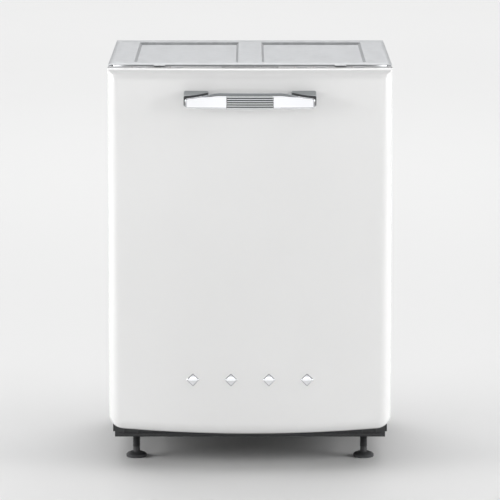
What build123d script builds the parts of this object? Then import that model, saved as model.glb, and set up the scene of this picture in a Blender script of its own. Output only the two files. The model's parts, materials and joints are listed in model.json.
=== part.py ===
from build123d import *
from math import pi
import os

# Built-in dishwasher, 60 cm wide, with a pillow-fronted door that hinges at its foot.
# Frame: +X to the right seen from the front, +Y to the back, +Z up, millimetres.
# The origin is on the floor, under the middle of the machine's box.

os.makedirs("parts", exist_ok=True)

# ---- Driving dimensions ----
machine_width = 596
machine_top = 860
depth_behind_flange = 545  # tub flange to rear panel
reach_before_flange = 124  # tub flange to the handle's front
flange_y = -(depth_behind_flange - reach_before_flange) / 2
rear_y = flange_y + depth_behind_flange
half_width = machine_width / 2

# Door
door_top = 857
door_bottom = 82  # at the middle of the bottom edge
door_corner = 94  # bottom edge at the corners, before they are rounded
door_front_y = flange_y - 78  # at the middle of the bowed face
door_back_y = flange_y - 8
door_bow = 12  # the face's middle stands this far ahead of its sides
door_edge_radius = 24
door_corner_radius = 28
door_skin = 1.5
liner_y = flange_y - 6  # inner face of the door, against the seal
liner_depth = 20
liner_half = 278
liner_bottom = 112
liner_top = 846
pivot_y = flange_y - 31
pivot_z = 150

# Tub
tub_half = 272
tub_floor = 190
floor_sheet = 1.2
tub_ceiling = 830
tub_depth = 500
sheet = 1.0
sump_y = flange_y + 250
sump_radius = 100
pipe_y = flange_y + 486
pipe_radius = 9

# Base
base_bottom = 52
base_top = 182
base_wall = 3
base_front_y = flange_y + 62
base_rear_y = rear_y - 2.3
weld_gap = 0.1  # between the plain bars and plates that make up one piece
base_half = 290

# Racks
wire = 2.0  # radius of a rack wire
rim_wire = 3.0
rack_front_y = flange_y + 24
rack_back_y = flange_y + 470
lower_floor = 240
lower_rim = 378
upper_floor = 522
upper_rim = 640
rail_z = 600
wheel_radius = 18
wheel_z = tub_floor + 0.3 + wheel_radius
front_wheel_y = flange_y + 129
rear_wheel_y = flange_y + 430


# ---- Helpers ----
def block(x, y, z, mode=Mode.ADD):
    """Box between two coordinates on each axis, in the open part."""
    with Locations((sum(x) / 2, sum(y) / 2, sum(z) / 2)):
        Box(x[1] - x[0], y[1] - y[0], z[1] - z[0], mode=mode)


def rods(spans, radius, mode=Mode.ADD):
    """Round bars of one length, one for each (start, end) pair, in the open part."""
    planes = []
    for start, end in spans:
        along = Vector(*end) - Vector(*start)
        middle = Vector(*start) + along / 2
        planes.append(Plane(origin=middle, z_dir=along))
    with Locations(*planes):
        Cylinder(radius, along.length, mode=mode)


def save(builder, label):
    """Names a finished piece and writes it to its own file."""
    builder.part.label = label
    export_step(builder.part, f"parts/{label}.step")


# ---- Door panel: a hollow pillow-fronted pan with round lower corners ----
def door_form(inset, back_y):
    """Solid of the door panel's shape, with its faces moved in by inset."""
    half = half_width - inset
    front = door_front_y + inset
    top = door_top - inset
    corner = door_corner + inset
    with BuildPart() as form:
        with BuildSketch(Plane.XZ.offset(-back_y)) as outline:
            with BuildLine():
                Polyline((-half, corner), (-half, top), (half, top), (half, corner))
                ThreePointArc((half, corner), (0, door_bottom + inset), (-half, corner))
            make_face()
            lower_corners = outline.vertices().sort_by(Axis.Y)[:2]
            fillet(lower_corners, door_corner_radius - inset)
        extrude(amount=back_y - front + 1)
        with BuildSketch(Plane.XY.offset(door_bottom - 5)):
            with BuildLine():
                side = front + door_bow
                Polyline((half, side), (half, back_y), (-half, back_y), (-half, side))
                ThreePointArc((-half, side), (0, front), (half, side))
            make_face()
        extrude(amount=top - door_bottom + 10, mode=Mode.INTERSECT)
        front_face = form.faces().sort_by(Axis.Y)[0]
        fillet(front_face.edges(), door_edge_radius - inset)
    return form.part


outer_form = door_form(0, door_back_y)
inner_form = door_form(door_skin, door_back_y + 1)
fascia_front_y = flange_y - 41  # where the panel's top edge ends and the control strip starts
skirt_back_y = flange_y - 45  # the bottom edge stops here, clear of the hinge arms
inner_half = half_width - door_skin

with BuildPart() as door_panel:
    add(outer_form)
    add(inner_form, mode=Mode.SUBTRACT)
    # the top edge ends in front of the control strip
    inside = (-inner_half, inner_half)
    block(inside, (fascia_front_y, flange_y), (door_top - 3, door_top + 1), Mode.SUBTRACT)
    block(inside, (skirt_back_y, flange_y), (door_bottom - 2, 125), Mode.SUBTRACT)
save(door_panel, "door_panel")

# ---- Door liner: stainless pan on the inside of the door, with the dispenser's window ----
dispenser_x = (-90, 115)
dispenser_z = (430, 540)
latch_half = 11
latch_z = (814, 829)
with BuildPart() as door_liner:
    liner_front_y = liner_y - liner_depth
    block((-liner_half, liner_half), (liner_front_y, liner_y), (liner_bottom, liner_top))
    inside = liner_half - sheet
    block(
        (-inside, inside),
        (liner_front_y, liner_y - sheet),
        (liner_bottom + sheet, liner_top - sheet),
        Mode.SUBTRACT,
    )
    block(dispenser_x, (liner_y - 2, liner_y + 1), dispenser_z, Mode.SUBTRACT)
    block((-latch_half, latch_half), (liner_y - 2, liner_y + 1), latch_z, Mode.SUBTRACT)
save(door_liner, "door_liner")

# ---- Dispenser: housing, sliding detergent lid and the rinse aid cap ----
lid_x = (-25, 40)
lid_z = (445, 525)
cap_x = 82
cap_z = 485
cap_radius = 18
with BuildPart() as dispenser_body:
    block(
        (dispenser_x[0] + 0.3, dispenser_x[1] - 0.3),
        (liner_y - 32, liner_y + 1.5),
        (dispenser_z[0] + 0.3, dispenser_z[1] - 0.3),
    )
    # detergent cup
    cup_x_span = (lid_x[0] + 6, lid_x[1] - 6)
    cup_z_span = (lid_z[0] + 6, lid_z[1] - 6)
    block(cup_x_span, (liner_y - 26, liner_y + 2), cup_z_span, Mode.SUBTRACT)
    # seat of the rinse aid cap
    rods([((cap_x, liner_y - 8, cap_z), (cap_x, liner_y + 2, cap_z))], cap_radius + 0.5, Mode.SUBTRACT)
save(dispenser_body, "dispenser_body")

lid_y = liner_y + 1.8
with BuildPart() as detergent_lid:
    block(lid_x, (lid_y, lid_y + 3), lid_z)
    fillet(detergent_lid.edges().filter_by(Axis.Y), 6)
    block((lid_x[0] + 8, lid_x[0] + 12), (lid_y + 3, lid_y + 5), (lid_z[0] + 20, lid_z[1] - 20))
save(detergent_lid, "detergent_lid")

with BuildPart() as rinse_aid_cap:
    rods([((cap_x, liner_y - 7.5, cap_z), (cap_x, liner_y + 2.5, cap_z))], cap_radius)
    block((cap_x - 14, cap_x + 14), (liner_y + 2.5, liner_y + 6), (cap_z - 3, cap_z + 3))
save(rinse_aid_cap, "rinse_aid_cap")

# ---- Control strip on the door's top edge, with its buttons ----
fascia_z = (liner_top, door_top)
button_y = flange_y - 24
button_size = (24, 12)
button_travel = 2
button_x = {
    "power_button": -230,
    "program_button": -150,
    "delay_button": 110,
    "half_load_button": 150,
    "start_button": 230,
}
button_stem_foot = fascia_z[0] + 1
with BuildPart() as control_fascia:
    block((-inner_half + 0.5, inner_half - 0.5), (fascia_front_y + 0.5, liner_y), fascia_z)
    well = tuple(size + 0.6 for size in button_size)
    for x in button_x.values():
        block(
            (x - well[0] / 2, x + well[0] / 2),
            (button_y - well[1] / 2, button_y + well[1] / 2),
            (button_stem_foot - 0.5 - button_travel, door_top + 1),
            Mode.SUBTRACT,
        )
    # recess of the display window
    block((-60, 60), (button_y - 9, button_y + 9), (door_top - 1, door_top + 1), Mode.SUBTRACT)
save(control_fascia, "control_fascia")

for label, x in button_x.items():
    with BuildPart() as button:
        block(
            (x - button_size[0] / 2, x + button_size[0] / 2),
            (button_y - button_size[1] / 2, button_y + button_size[1] / 2),
            (button_stem_foot + button_travel, door_top + 1.2),
        )
        fillet(button.edges().filter_by(Axis.Z), 3)
        fillet(button.faces().sort_by(Axis.Z)[-1].edges(), 0.8)
    save(button, label)

with BuildPart() as control_box:
    block((-120, 120), (flange_y - 50, flange_y - 29), (790, 840))
    block((-116, 116), (flange_y - 47, flange_y - 32), (793, 843), Mode.SUBTRACT)
    block((-112, 112), (flange_y - 41, flange_y - 39.4), (793, 835))  # circuit board
    block((-118, 118), (flange_y - 41, flange_y - 39.4), (793, 797))
save(control_box, "control_box")

# ---- Handle: a bowed bar with a ribbed middle, on two sloped blocks ----
handle_half = 138
handle_front_y = flange_y - reach_before_flange
bar_low = (778, 780)  # bottom edge at the middle and at the ends
bar_high = (812, 800)
bar_thickness = 11
bar_bow = 13
rib_half = 48
rib_count = 6
rib_pitch = 4.6
rib_middle_z = 793
rib_proud = 1.2
post_width = 52
post_z = (785, 805, 813)  # bottom, top behind the bar, top at the door
bar_front_y = handle_front_y + rib_proud
bar_back_y = bar_front_y + bar_bow + bar_thickness


def bow_plan(half, front, thickness):
    """Plan of a strip that is bowed forward, between two arcs of the bar's bow."""
    sag = bar_bow * (half / handle_half) ** 2
    with BuildSketch(Plane.XY) as plan:
        with BuildLine():
            ahead = front + sag
            behind = ahead + thickness
            ThreePointArc((-half, ahead), (0, front), (half, ahead))
            Line((half, ahead), (half, behind))
            ThreePointArc((half, behind), (0, front + thickness), (-half, behind))
            Line((-half, behind), (-half, ahead))
        make_face()
    return plan.sketch


bar_plan = bow_plan(handle_half, bar_front_y, bar_thickness)
rib_plan = bow_plan(rib_half, handle_front_y, 4)
with BuildPart() as handle_bar:
    with BuildSketch(Plane.XY.offset(bar_low[0] - 1)):
        add(bar_plan)
    extrude(amount=bar_high[0] - bar_low[0] + 2)
    # seen from the front it is tallest at the middle
    with BuildSketch(Plane.XZ.offset(-bar_back_y - 1)):
        with BuildLine():
            ThreePointArc((-handle_half, bar_low[1]), (0, bar_low[0]), (handle_half, bar_low[1]))
            Line((handle_half, bar_low[1]), (handle_half, bar_high[1]))
            ThreePointArc((handle_half, bar_high[1]), (0, bar_high[0]), (-handle_half, bar_high[1]))
            Line((-handle_half, bar_high[1]), (-handle_half, bar_low[1]))
        make_face()
    extrude(amount=60, mode=Mode.INTERSECT)
    fillet(handle_bar.faces().sort_by(Axis.Y)[0].edges(), 3)
    for index in range(rib_count):
        rib_z = rib_middle_z + (index - (rib_count - 1) / 2) * rib_pitch
        with BuildSketch(Plane.XY.offset(rib_z - 1)):
            add(rib_plan)
        extrude(amount=2)
save(handle_bar, "handle_bar")

with BuildPart() as handle_posts:
    for sign in (-1, 1):
        with BuildSketch(Plane.YZ.offset(min(sign * handle_half, sign * (handle_half - post_width)))):
            with BuildLine():
                Polyline(
                    (door_front_y + 10, post_z[0]),
                    (bar_back_y - 6, post_z[0]),
                    (bar_back_y - 6, post_z[1]),
                    (door_front_y, post_z[2]),
                    (door_front_y + 10, post_z[2]),
                    close=True,
                )
            make_face()
        extrude(amount=post_width)
    add(outer_form, mode=Mode.SUBTRACT)
    with BuildSketch(Plane.XY.offset(post_z[0] - 5)):
        add(bar_plan)
    extrude(amount=40, mode=Mode.SUBTRACT)
save(handle_posts, "handle_posts")

# ---- Plain chrome diamond studs across the lower door ----
stud_z = 202
stud_pitch = 80
stud_count = 4
stud_reach = 15  # middle to corner
stud_proud = 4
with BuildPart() as trim_studs:
    stud_front_y = door_front_y - stud_proud + 1
    for index in range(stud_count):
        x = (index - (stud_count - 1) / 2) * stud_pitch
        with BuildSketch(Plane.XZ.offset(-stud_front_y - 8)):
            with Locations((x, stud_z)):
                RegularPolygon(stud_reach, 4)
        extrude(amount=8)
    add(outer_form, mode=Mode.SUBTRACT)
save(trim_studs, "trim_studs")

# ---- Latch housing at the top of the door; the tub's striker enters its slot ----
with BuildPart() as door_latch:
    block((-30, 30), (liner_y - 16, liner_y - sheet), (800, 840))
    block((-latch_half, latch_half), (liner_y - 14, liner_y), latch_z, Mode.SUBTRACT)
save(door_latch, "door_latch")

# ---- Hinges: fixed brackets on the base, levers with pins on the door ----
bracket_x = (284, 287)
lever_x = (278, 281)
pin_radius = 5
pin_clearance = 0.05
for side, sign in (("left", -1), ("right", 1)):
    with BuildPart() as hinge_bracket:
        x0 = min(sign * bracket_x[0], sign * bracket_x[1])
        with BuildSketch(Plane.YZ.offset(x0)):
            with Locations((pivot_y, pivot_z)):
                Circle(13)
            with BuildLine():
                Polyline(
                    (pivot_y, pivot_z - 12),
                    (flange_y + 70, pivot_z - 12),
                    (flange_y + 84, 60),
                    (flange_y + 180, 60),
                    (flange_y + 180, pivot_z + 12),
                    (pivot_y, pivot_z + 12),
                    close=True,
                )
            make_face()
            with Locations((pivot_y, pivot_z)):
                Circle(pin_radius + pin_clearance, mode=Mode.SUBTRACT)
        extrude(amount=3)
    save(hinge_bracket, f"hinge_bracket_{side}")

with BuildPart() as hinge_levers:
    for sign in (-1, 1):
        x0 = min(sign * lever_x[0], sign * lever_x[1])
        block((x0, x0 + 3), (pivot_y - 8, pivot_y + 8), (108, 330))
        rods([((sign * 280, pivot_y, pivot_z), (sign * 290, pivot_y, pivot_z))], pin_radius)
save(hinge_levers, "hinge_levers")

# ---- Counterweight springs: cartridge, eye and cord stub, one each side of the base ----
spring_z = 84
with BuildPart() as door_springs:
    for sign in (-1, 1):
        x = sign * 270
        rods([((x, flange_y + 190, spring_z), (x, flange_y + 400, spring_z))], 9)
        rods([((x, flange_y + 150, spring_z), (x, flange_y + 190, spring_z))], 2)
        rods([((x, flange_y + 400, spring_z), (x, flange_y + 430, spring_z))], 2)
        block((x - 5, x + 5), (flange_y + 430, flange_y + 436), (base_bottom + base_wall, spring_z + 8))
save(door_springs, "door_springs")

# ---- Base pan: a tray that carries the tub, the pumps and the feet ----
front_foot_x = 245
front_foot_y = flange_y + 106
rear_foot_y = flange_y + 500
stem_radius = 8
inlet_x, drain_x, power_x = 200, -200, -120
inlet_z, drain_z, power_z = 110, 120, 110
inlet_radius = 13.2
drain_radius = 10
with BuildPart() as base_pan:
    pan_top = tub_floor - floor_sheet
    block((-base_half, base_half), (base_front_y, base_rear_y), (base_bottom, pan_top))
    inner = base_half - base_wall
    block(
        (-inner, inner),
        (base_front_y + base_wall, base_rear_y - base_wall),
        (base_bottom + base_wall, pan_top + 1),
        Mode.SUBTRACT,
    )
    for sign in (-1, 1):
        # notch for the hinge arm, and the rim that the side panel stands on
        notch = sorted((sign * 281, sign * (base_half + 1)))
        block(notch, (base_front_y - 1, base_front_y + base_wall + 1), (126, pan_top + 1), Mode.SUBTRACT)
        edge = sorted((sign * 288.5, sign * (base_half + 1)))
        block(edge, (base_front_y - 1, rear_y), (base_top, pan_top + 1), Mode.SUBTRACT)
        rim = sorted((sign * base_half, sign * half_width))
        block(rim, (base_front_y, base_rear_y), (base_top - 2.2, base_top - 0.2))
        with Locations((sign * front_foot_x, front_foot_y, base_bottom + 8)):
            Cylinder(stem_radius + 6, 16)
            Cylinder(stem_radius + 0.4, 20, mode=Mode.SUBTRACT)
    with Locations((0, rear_foot_y, base_bottom + 8)):
        Cylinder(stem_radius + 6, 16)
        Cylinder(stem_radius + 0.4, 20, mode=Mode.SUBTRACT)
    # windows for the rear connections
    for x, z, radius in ((inlet_x, inlet_z, 18), (drain_x, drain_z, 14)):
        rods([((x, rear_y - 9, z), (x, rear_y + 6, z))], radius, Mode.SUBTRACT)
    window = (power_x - 17, power_x + 17)
    block(window, (rear_y - 9, rear_y + 6), (power_z - 13, power_z + 13), Mode.SUBTRACT)
save(base_pan, "base_pan")

# ---- Feet ----
foot_places = {
    "foot_front_left": (-front_foot_x, front_foot_y, 22, 0),
    "foot_front_right": (front_foot_x, front_foot_y, 22, 0),
    "foot_rear": (0, rear_foot_y, 22, 60),
}
for label, (x, y, radius, reach) in foot_places.items():
    with BuildPart() as foot:
        with BuildSketch():
            with Locations((x, y)):
                Circle(radius)
                if reach:
                    SlotOverall(2 * (reach + radius), 2 * radius)
        extrude(amount=9)
        fillet(foot.faces().sort_by(Axis.Z)[-1].edges(), 3)
        rods([((x, y, 8), (x, y, 100))], stem_radius)
    save(foot, label)

# ---- Outer casing ----
for side, sign in (("left", -1), ("right", 1)):
    with BuildPart() as side_panel:
        wall = sorted((sign * half_width, sign * (half_width - sheet)))
        lip = sorted((sign * (half_width - sheet - weld_gap), sign * 291))
        block(wall, (flange_y + 2, rear_y - 3), (base_top, machine_top - 1.2))
        block(lip, (flange_y + 2, flange_y + 2 + sheet), (base_top, machine_top - 1.2))
        block(lip, (flange_y + 3.2, rear_y - 3), (machine_top - 2.2, machine_top - 1.2))
    save(side_panel, f"side_panel_{side}")

with BuildPart() as top_cover:
    block((-half_width, half_width), (flange_y + 2, rear_y), (machine_top - sheet, machine_top))
    block((-288, 288), (flange_y + 2, flange_y + 3), (machine_top - 12, machine_top - sheet - weld_gap))
save(top_cover, "top_cover")

with BuildPart() as rear_panel:
    panel_half = half_width - 1.2
    panel_z = (pan_top + 0.5, machine_top - 1.2)
    block((-panel_half, panel_half), (rear_y - 2.8, rear_y - 1.8), panel_z)
save(rear_panel, "rear_panel")

tab_x, tab_width = 190, 24
tab_hole_y = flange_y - 12
tab_hole_radius = 2.5
with BuildPart() as worktop_brackets:
    for sign in (-1, 1):
        tab = (sign * tab_x - tab_width / 2, sign * tab_x + tab_width / 2)
        block(tab, (flange_y - 22, flange_y + 1.9), (machine_top - 1, machine_top))
        block(tab, (flange_y + 1.1, flange_y + 1.9), (machine_top - 15, machine_top - 1))
        with Locations((sign * tab_x, tab_hole_y, machine_top)):
            Cylinder(tab_hole_radius, 4, mode=Mode.SUBTRACT)
save(worktop_brackets, "worktop_brackets")

# ---- Tub: five sheets, with the flange that the door closes on ----
flange_width = 18
for side, sign in (("left", -1), ("right", 1)):
    with BuildPart() as tub_wall:
        wall = sorted((sign * tub_half, sign * (tub_half + sheet)))
        block(wall, (flange_y, flange_y + tub_depth), (tub_floor, tub_ceiling))
        turned = sorted((sign * (tub_half + sheet + weld_gap), sign * (tub_half + flange_width)))
        block(turned, (flange_y, flange_y + sheet), (tub_floor, tub_ceiling))
    save(tub_wall, f"tub_wall_{side}")

flange_half = tub_half + flange_width
with BuildPart() as tub_top:
    edge_half = tub_half + sheet
    block((-edge_half, edge_half), (flange_y, flange_y + tub_depth), (tub_ceiling, tub_ceiling + sheet))
    flange_z = (tub_ceiling + sheet + weld_gap, tub_ceiling + flange_width)
    block((-flange_half, flange_half), (flange_y, flange_y + sheet), flange_z)
    # striker that the door's latch closes on
    block((-8, 8), (flange_y + 4, flange_y + 12), (latch_z[1] - 4 + weld_gap, tub_ceiling - weld_gap))
    block((-8, 8), (flange_y - 16, flange_y + 12), (latch_z[0] + 4, latch_z[1] - 4))
save(tub_top, "tub_ceiling")

with BuildPart() as tub_back:
    back_y = flange_y + tub_depth
    block((-edge_half, edge_half), (back_y, back_y + sheet), (tub_floor - 4, tub_ceiling + sheet))
save(tub_back, "tub_back")

salt_x, salt_y = -170, flange_y + 130
with BuildPart() as tub_bottom:
    block((-edge_half, edge_half), (flange_y + 0.2, back_y), (tub_floor - floor_sheet, tub_floor - 0.05))
    with Locations((0, sump_y, tub_floor - 2)):
        Cylinder(sump_radius + 0.5, 10, mode=Mode.SUBTRACT)
    with Locations((salt_x, salt_y, tub_floor - 2)):
        Cylinder(34.5, 10, mode=Mode.SUBTRACT)
    with Locations((0, pipe_y, tub_floor - 2)):
        Cylinder(pipe_radius + 0.3, 10, mode=Mode.SUBTRACT)
save(tub_bottom, "tub_floor")

seal_thickness = 5.7
seal_outer = (tub_half + 10, tub_floor - 8, tub_ceiling + 10)
seal_inner = (tub_half + 2, tub_floor - 0.2, tub_ceiling + 2)
with BuildPart() as door_seal:
    with BuildSketch(Plane.XZ.offset(-flange_y)):
        for (half, low, high), radius, mode in ((seal_outer, 12, Mode.ADD), (seal_inner, 5, Mode.SUBTRACT)):
            with Locations((0, (low + high) / 2)):
                RectangleRounded(2 * half, high - low, radius, mode=mode)
    extrude(amount=seal_thickness)
save(door_seal, "door_seal")

# ---- Water works under the tub ----
cup_x, cup_y = 45, sump_y + 34
cup_radius = 36
ledge_radius = 90  # the flat filter rests on this ring
with BuildPart() as sump:
    with Locations((0, sump_y, (105 + tub_floor) / 2)):
        Cylinder(sump_radius, tub_floor - 105)
    with Locations((0, sump_y, 108)):
        Cylinder(sump_radius - 4, 100, align=(Align.CENTER, Align.CENTER, Align.MIN), mode=Mode.SUBTRACT)
    with Locations((0, sump_y, 184.5)):
        Cylinder(sump_radius - 3, 3)
        Cylinder(ledge_radius, 4, mode=Mode.SUBTRACT)
    rods([((0, sump_y, 106), (0, sump_y, 228))], 10)  # spray arm post
    # riser to the feed pipe, under the tub floor
    rods([((0, sump_y + sump_radius - 2, 170), (0, pipe_y, 170))], pipe_radius - 2)
    rods([((0, pipe_y, 160), (0, pipe_y, tub_floor - 3.2))], pipe_radius)
save(sump, "sump")

with BuildPart() as flat_filter:
    with Locations((0, sump_y, 187.3)):
        Cylinder(sump_radius - 4.5, 2)
        Cylinder(12, 4, mode=Mode.SUBTRACT)
    with Locations((cup_x, cup_y, 187.3)):
        Cylinder(cup_radius - 5, 4, mode=Mode.SUBTRACT)
save(flat_filter, "flat_filter")

with BuildPart() as filter_cup:
    with Locations((cup_x, cup_y, 160)):
        Cylinder(cup_radius - 6, 60)
    with Locations((cup_x, cup_y, tub_floor)):
        Cylinder(cup_radius, 3)
    with Locations((cup_x, cup_y, 134)):
        Cylinder(cup_radius - 8, 80, align=(Align.CENTER, Align.CENTER, Align.MIN), mode=Mode.SUBTRACT)
    block((cup_x - 30, cup_x + 30), (cup_y - 2.5, cup_y + 2.5), (tub_floor - 1.5, tub_floor + 7))
save(filter_cup, "filter_cup")

pump_y = sump_y - 40
with BuildPart() as circulation_pump:
    rods([((106, pump_y, 105), (146, pump_y, 105))], 46)
    rods([((146, pump_y, 105), (228, pump_y, 105))], 36)
    rods([((228, pump_y, 105), (236, pump_y, 105))], 20)
    block((120, 222), (pump_y - 20, pump_y + 20), (base_bottom + base_wall, 75))
save(circulation_pump, "circulation_pump")

with BuildPart() as drain_pump:
    rods([((-150, sump_y + 70, 95), (-120, sump_y + 70, 95))], 30)
    rods([((-205, sump_y + 70, 95), (-150, sump_y + 70, 95))], 22)
    block((-195, -130), (sump_y + 60, sump_y + 80), (base_bottom + base_wall, 75))
save(drain_pump, "drain_pump")

with BuildPart() as water_softener:
    block((-228, -112), (flange_y + 75, flange_y + 185), (75, tub_floor - 6))
    fillet(water_softener.edges().filter_by(Axis.Z), 14)
    with Locations((salt_x, salt_y, tub_floor - 3)):
        Cylinder(34, 10)
        Cylinder(30, 30, mode=Mode.SUBTRACT)
save(water_softener, "water_softener")

with BuildPart() as salt_cap:
    with Locations((salt_x, salt_y, tub_floor - 2)):
        Cylinder(29.5, 18)
    with Locations((salt_x, salt_y, tub_floor + 4)):
        Cylinder(34, 3)
    block((salt_x - 24, salt_x + 24), (salt_y - 3, salt_y + 3), (tub_floor + 5, tub_floor + 12))
save(salt_cap, "salt_cap")

spigot_end_y = rear_y - 2
with BuildPart() as inlet_valve:
    block((inlet_x - 25, inlet_x + 25), (rear_y - 70, rear_y - 24), (base_bottom + base_wall, 140))
    rods([((inlet_x, rear_y - 24, inlet_z), (inlet_x, rear_y - 2, inlet_z))], inlet_radius)
    rods([((inlet_x, rear_y - 30, inlet_z), (inlet_x, rear_y - 1, inlet_z))], 8, Mode.SUBTRACT)
save(inlet_valve, "inlet_valve")

with BuildPart() as drain_spigot:
    block((drain_x - 16, drain_x + 16), (rear_y - 40, rear_y - 30), (base_bottom + base_wall, 140))
    rods([((drain_x, rear_y - 31, drain_z), (drain_x, rear_y - 2, drain_z))], drain_radius)
    rods([((drain_x, rear_y - 41, drain_z), (drain_x, rear_y - 1, drain_z))], 7, Mode.SUBTRACT)
save(drain_spigot, "drain_spigot")

with BuildPart() as power_inlet:
    block((power_x - 16, power_x + 16), (rear_y - 34, rear_y - 1), (power_z - 12, power_z + 12))
    recess = (power_x - 12.5, power_x + 12.5)
    block(recess, (rear_y - 26, rear_y), (power_z - 9, power_z + 9), Mode.SUBTRACT)
    for x in (-8, 0, 8):
        block((power_x + x - 1, power_x + x + 1), (rear_y - 27, rear_y - 8), (power_z - 3, power_z + 3))
save(power_inlet, "power_inlet")

# ---- Feed pipe up the back of the tub, and the ceiling sprayer ----
feed_top = tub_ceiling - 14
with BuildPart() as feed_pipe:
    rods([((0, pipe_y, tub_floor - 3), (0, pipe_y, feed_top - pipe_radius - 0.1))], pipe_radius)
    rods([((0, pipe_y + pipe_radius, feed_top), (0, sump_y - 12, feed_top))], pipe_radius)
    # docking socket behind the upper rack
    socket_y = (pipe_y - pipe_radius - 9, pipe_y - pipe_radius - 0.1)
    block((-17, 17), socket_y, (upper_floor - 37, upper_floor - 7))
save(feed_pipe, "feed_pipe")

with BuildPart() as ceiling_sprayer:
    with Locations((0, sump_y, feed_top - 14)):
        Cylinder(46, 8)
    with Locations((0, sump_y, feed_top - 9.55)):
        Cylinder(14, 1)
save(ceiling_sprayer, "ceiling_sprayer")

# ---- Sound pads and screws ----
with BuildPart() as insulation_pads:
    for sign in (-1, 1):
        pad = sorted((sign * (tub_half + 1.5), sign * (tub_half + 8)))
        block(pad, (flange_y + 20, flange_y + 490), (tub_floor + 10, tub_ceiling - 10))
save(insulation_pads, "insulation_pads")

with BuildPart() as cabinet_screws:
    screw_places = [(x, z) for x in (-285, 285) for z in (240, 420, 600, 780)]
    rods([((x, rear_y - 1.8, z), (x, rear_y - 0.2, z)) for x, z in screw_places], 3.5)
save(cabinet_screws, "cabinet_screws")

# ---- Upper rack rails: C channels on the tub walls, with sliding C rails inside ----
rail_front_y = flange_y + 12
rail_length = 458


def c_rail(sign, outer, depth, half_height, wall):
    """C profile that opens toward the middle: a web and two lips, run along the tub wall."""
    web = sorted((sign * outer, sign * (outer - wall)))
    lip = sorted((sign * (outer - wall - weld_gap), sign * (outer - depth)))
    run = (rail_front_y, rail_front_y + rail_length)
    block(web, run, (rail_z - half_height, rail_z + half_height))
    block(lip, run, (rail_z + half_height - wall, rail_z + half_height))
    block(lip, run, (rail_z - half_height, rail_z - half_height + wall))


with BuildPart() as rail_channels:
    for sign in (-1, 1):
        c_rail(sign, tub_half - 0.3, 13, 16, 1.2)
save(rail_channels, "rail_channels")

with BuildPart() as upper_slides:
    for sign in (-1, 1):
        c_rail(sign, tub_half - 2.2, 11, 14.2, 1.2)
save(upper_slides, "upper_slides")

# ---- Racks of straight welded wires, each wire a little clear of the next ----

def steps(first, last, count):
    """Evenly spaced values from first to last."""
    return [first + (last - first) * index / (count - 1) for index in range(count)]


def wire_basket(half, floor, rim, long_count, cross_count, chamfer):
    """Floor wires both ways, risers on all sides, a rim and a middle hoop."""
    front, back = rack_front_y, rack_back_y
    long_x = steps(-half + 20, half - 20, long_count)
    cross_y = steps(front + chamfer + 16, back - 14, cross_count)
    second = floor + 2 * wire + weld_gap
    top = rim - rim_wire - weld_gap
    rods([((x, front + chamfer, floor), (x, back - 2.5, floor)) for x in long_x], wire)
    rods([((-half + 2, y, second), (half - 2, y, second)) for y in cross_y], wire)
    # sloped front foot, then front and rear risers
    slope = chamfer - 4
    rods(
        [((x, front + slope, floor + 4), (x, front + 1, floor + 3 + slope)) for x in long_x],
        wire,
    )
    rods([((x, front, floor + chamfer + 4), (x, front, top)) for x in long_x], wire)
    rods([((x, back, floor), (x, back, top)) for x in long_x], wire)
    for sign in (-1, 1):
        rods([((sign * (half + 2), y, second), (sign * (half + 2), y, top)) for y in cross_y], wire)
        rods([((sign * (half + 2), front + 4, rim), (sign * (half + 2), back - 4, rim))], rim_wire)
    middle = (floor + chamfer + rim) / 2
    inward = 2 * wire + weld_gap
    rods([((-half + 2, y, rim), (half - 2, y, rim)) for y in (front, back)], rim_wire)
    hoop_y = (front + inward, back - inward)
    rods([((-half + 8, y, middle), (half - 8, y, middle)) for y in hoop_y], wire)


lower_half = 250
tine_floor = lower_floor + 4 * wire + 2 * weld_gap
tine_top = lower_floor + 84
cross_front = rack_front_y + 40 + 16
fold_y = flange_y + 330
shaft_z = lower_floor + 4 * wire + 4
with BuildPart() as lower_rack:
    wire_basket(lower_half, lower_floor, lower_rim, 11, 8, 40)
    for sign in (-1, 1):
        for y in (front_wheel_y, rear_wheel_y):
            plate = sorted((sign * (lower_half + 4.3), sign * (lower_half + 7.3)))
            block(plate, (y - 8, y + 8), (wheel_z - 9, lower_floor + 20))
            rods([((sign * (lower_half + 7.4), y, wheel_z), (sign * (lower_half + 18), y, wheel_z))], 4)
            block(sorted((sign * (lower_half - 4), sign * (lower_half + 4.2))), (y - 7, y + 7), (230, 236))
    # two rows of fixed plate tines
    rods(
        [((x, y, tine_floor), (x, y, tine_top)) for y in (fold_y - 130, fold_y - 90)
         for x in steps(-220, 220, 16)],
        1.8,
    )
    # saddles under the folding row's shaft
    for x in (-184, -46, 46, 184):
        block((x - 3, x + 3), (fold_y - 4, fold_y + 4), (lower_floor + wire + weld_gap, shaft_z - 2.4))
save(lower_rack, "lower_rack")

with BuildPart() as plate_tines:
    rods([((-225, fold_y, shaft_z), (225, fold_y, shaft_z))], 2.2)
    rods([((x, fold_y, shaft_z + 2.3), (x, fold_y, tine_top)) for x in steps(-220, 220, 16)], 1.8)
save(plate_tines, "plate_tines")

for label, y in (("front_wheels", front_wheel_y), ("rear_wheels", rear_wheel_y)):
    with BuildPart() as wheels:
        for sign in (-1, 1):
            near, far = sign * (lower_half + 7.9), sign * (lower_half + 16.5)
            rods([((near, y, wheel_z), (far, y, wheel_z))], wheel_radius)
            rods([((near - sign, y, wheel_z), (far + sign, y, wheel_z))], 4.05, Mode.SUBTRACT)
    save(wheels, label)

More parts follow.
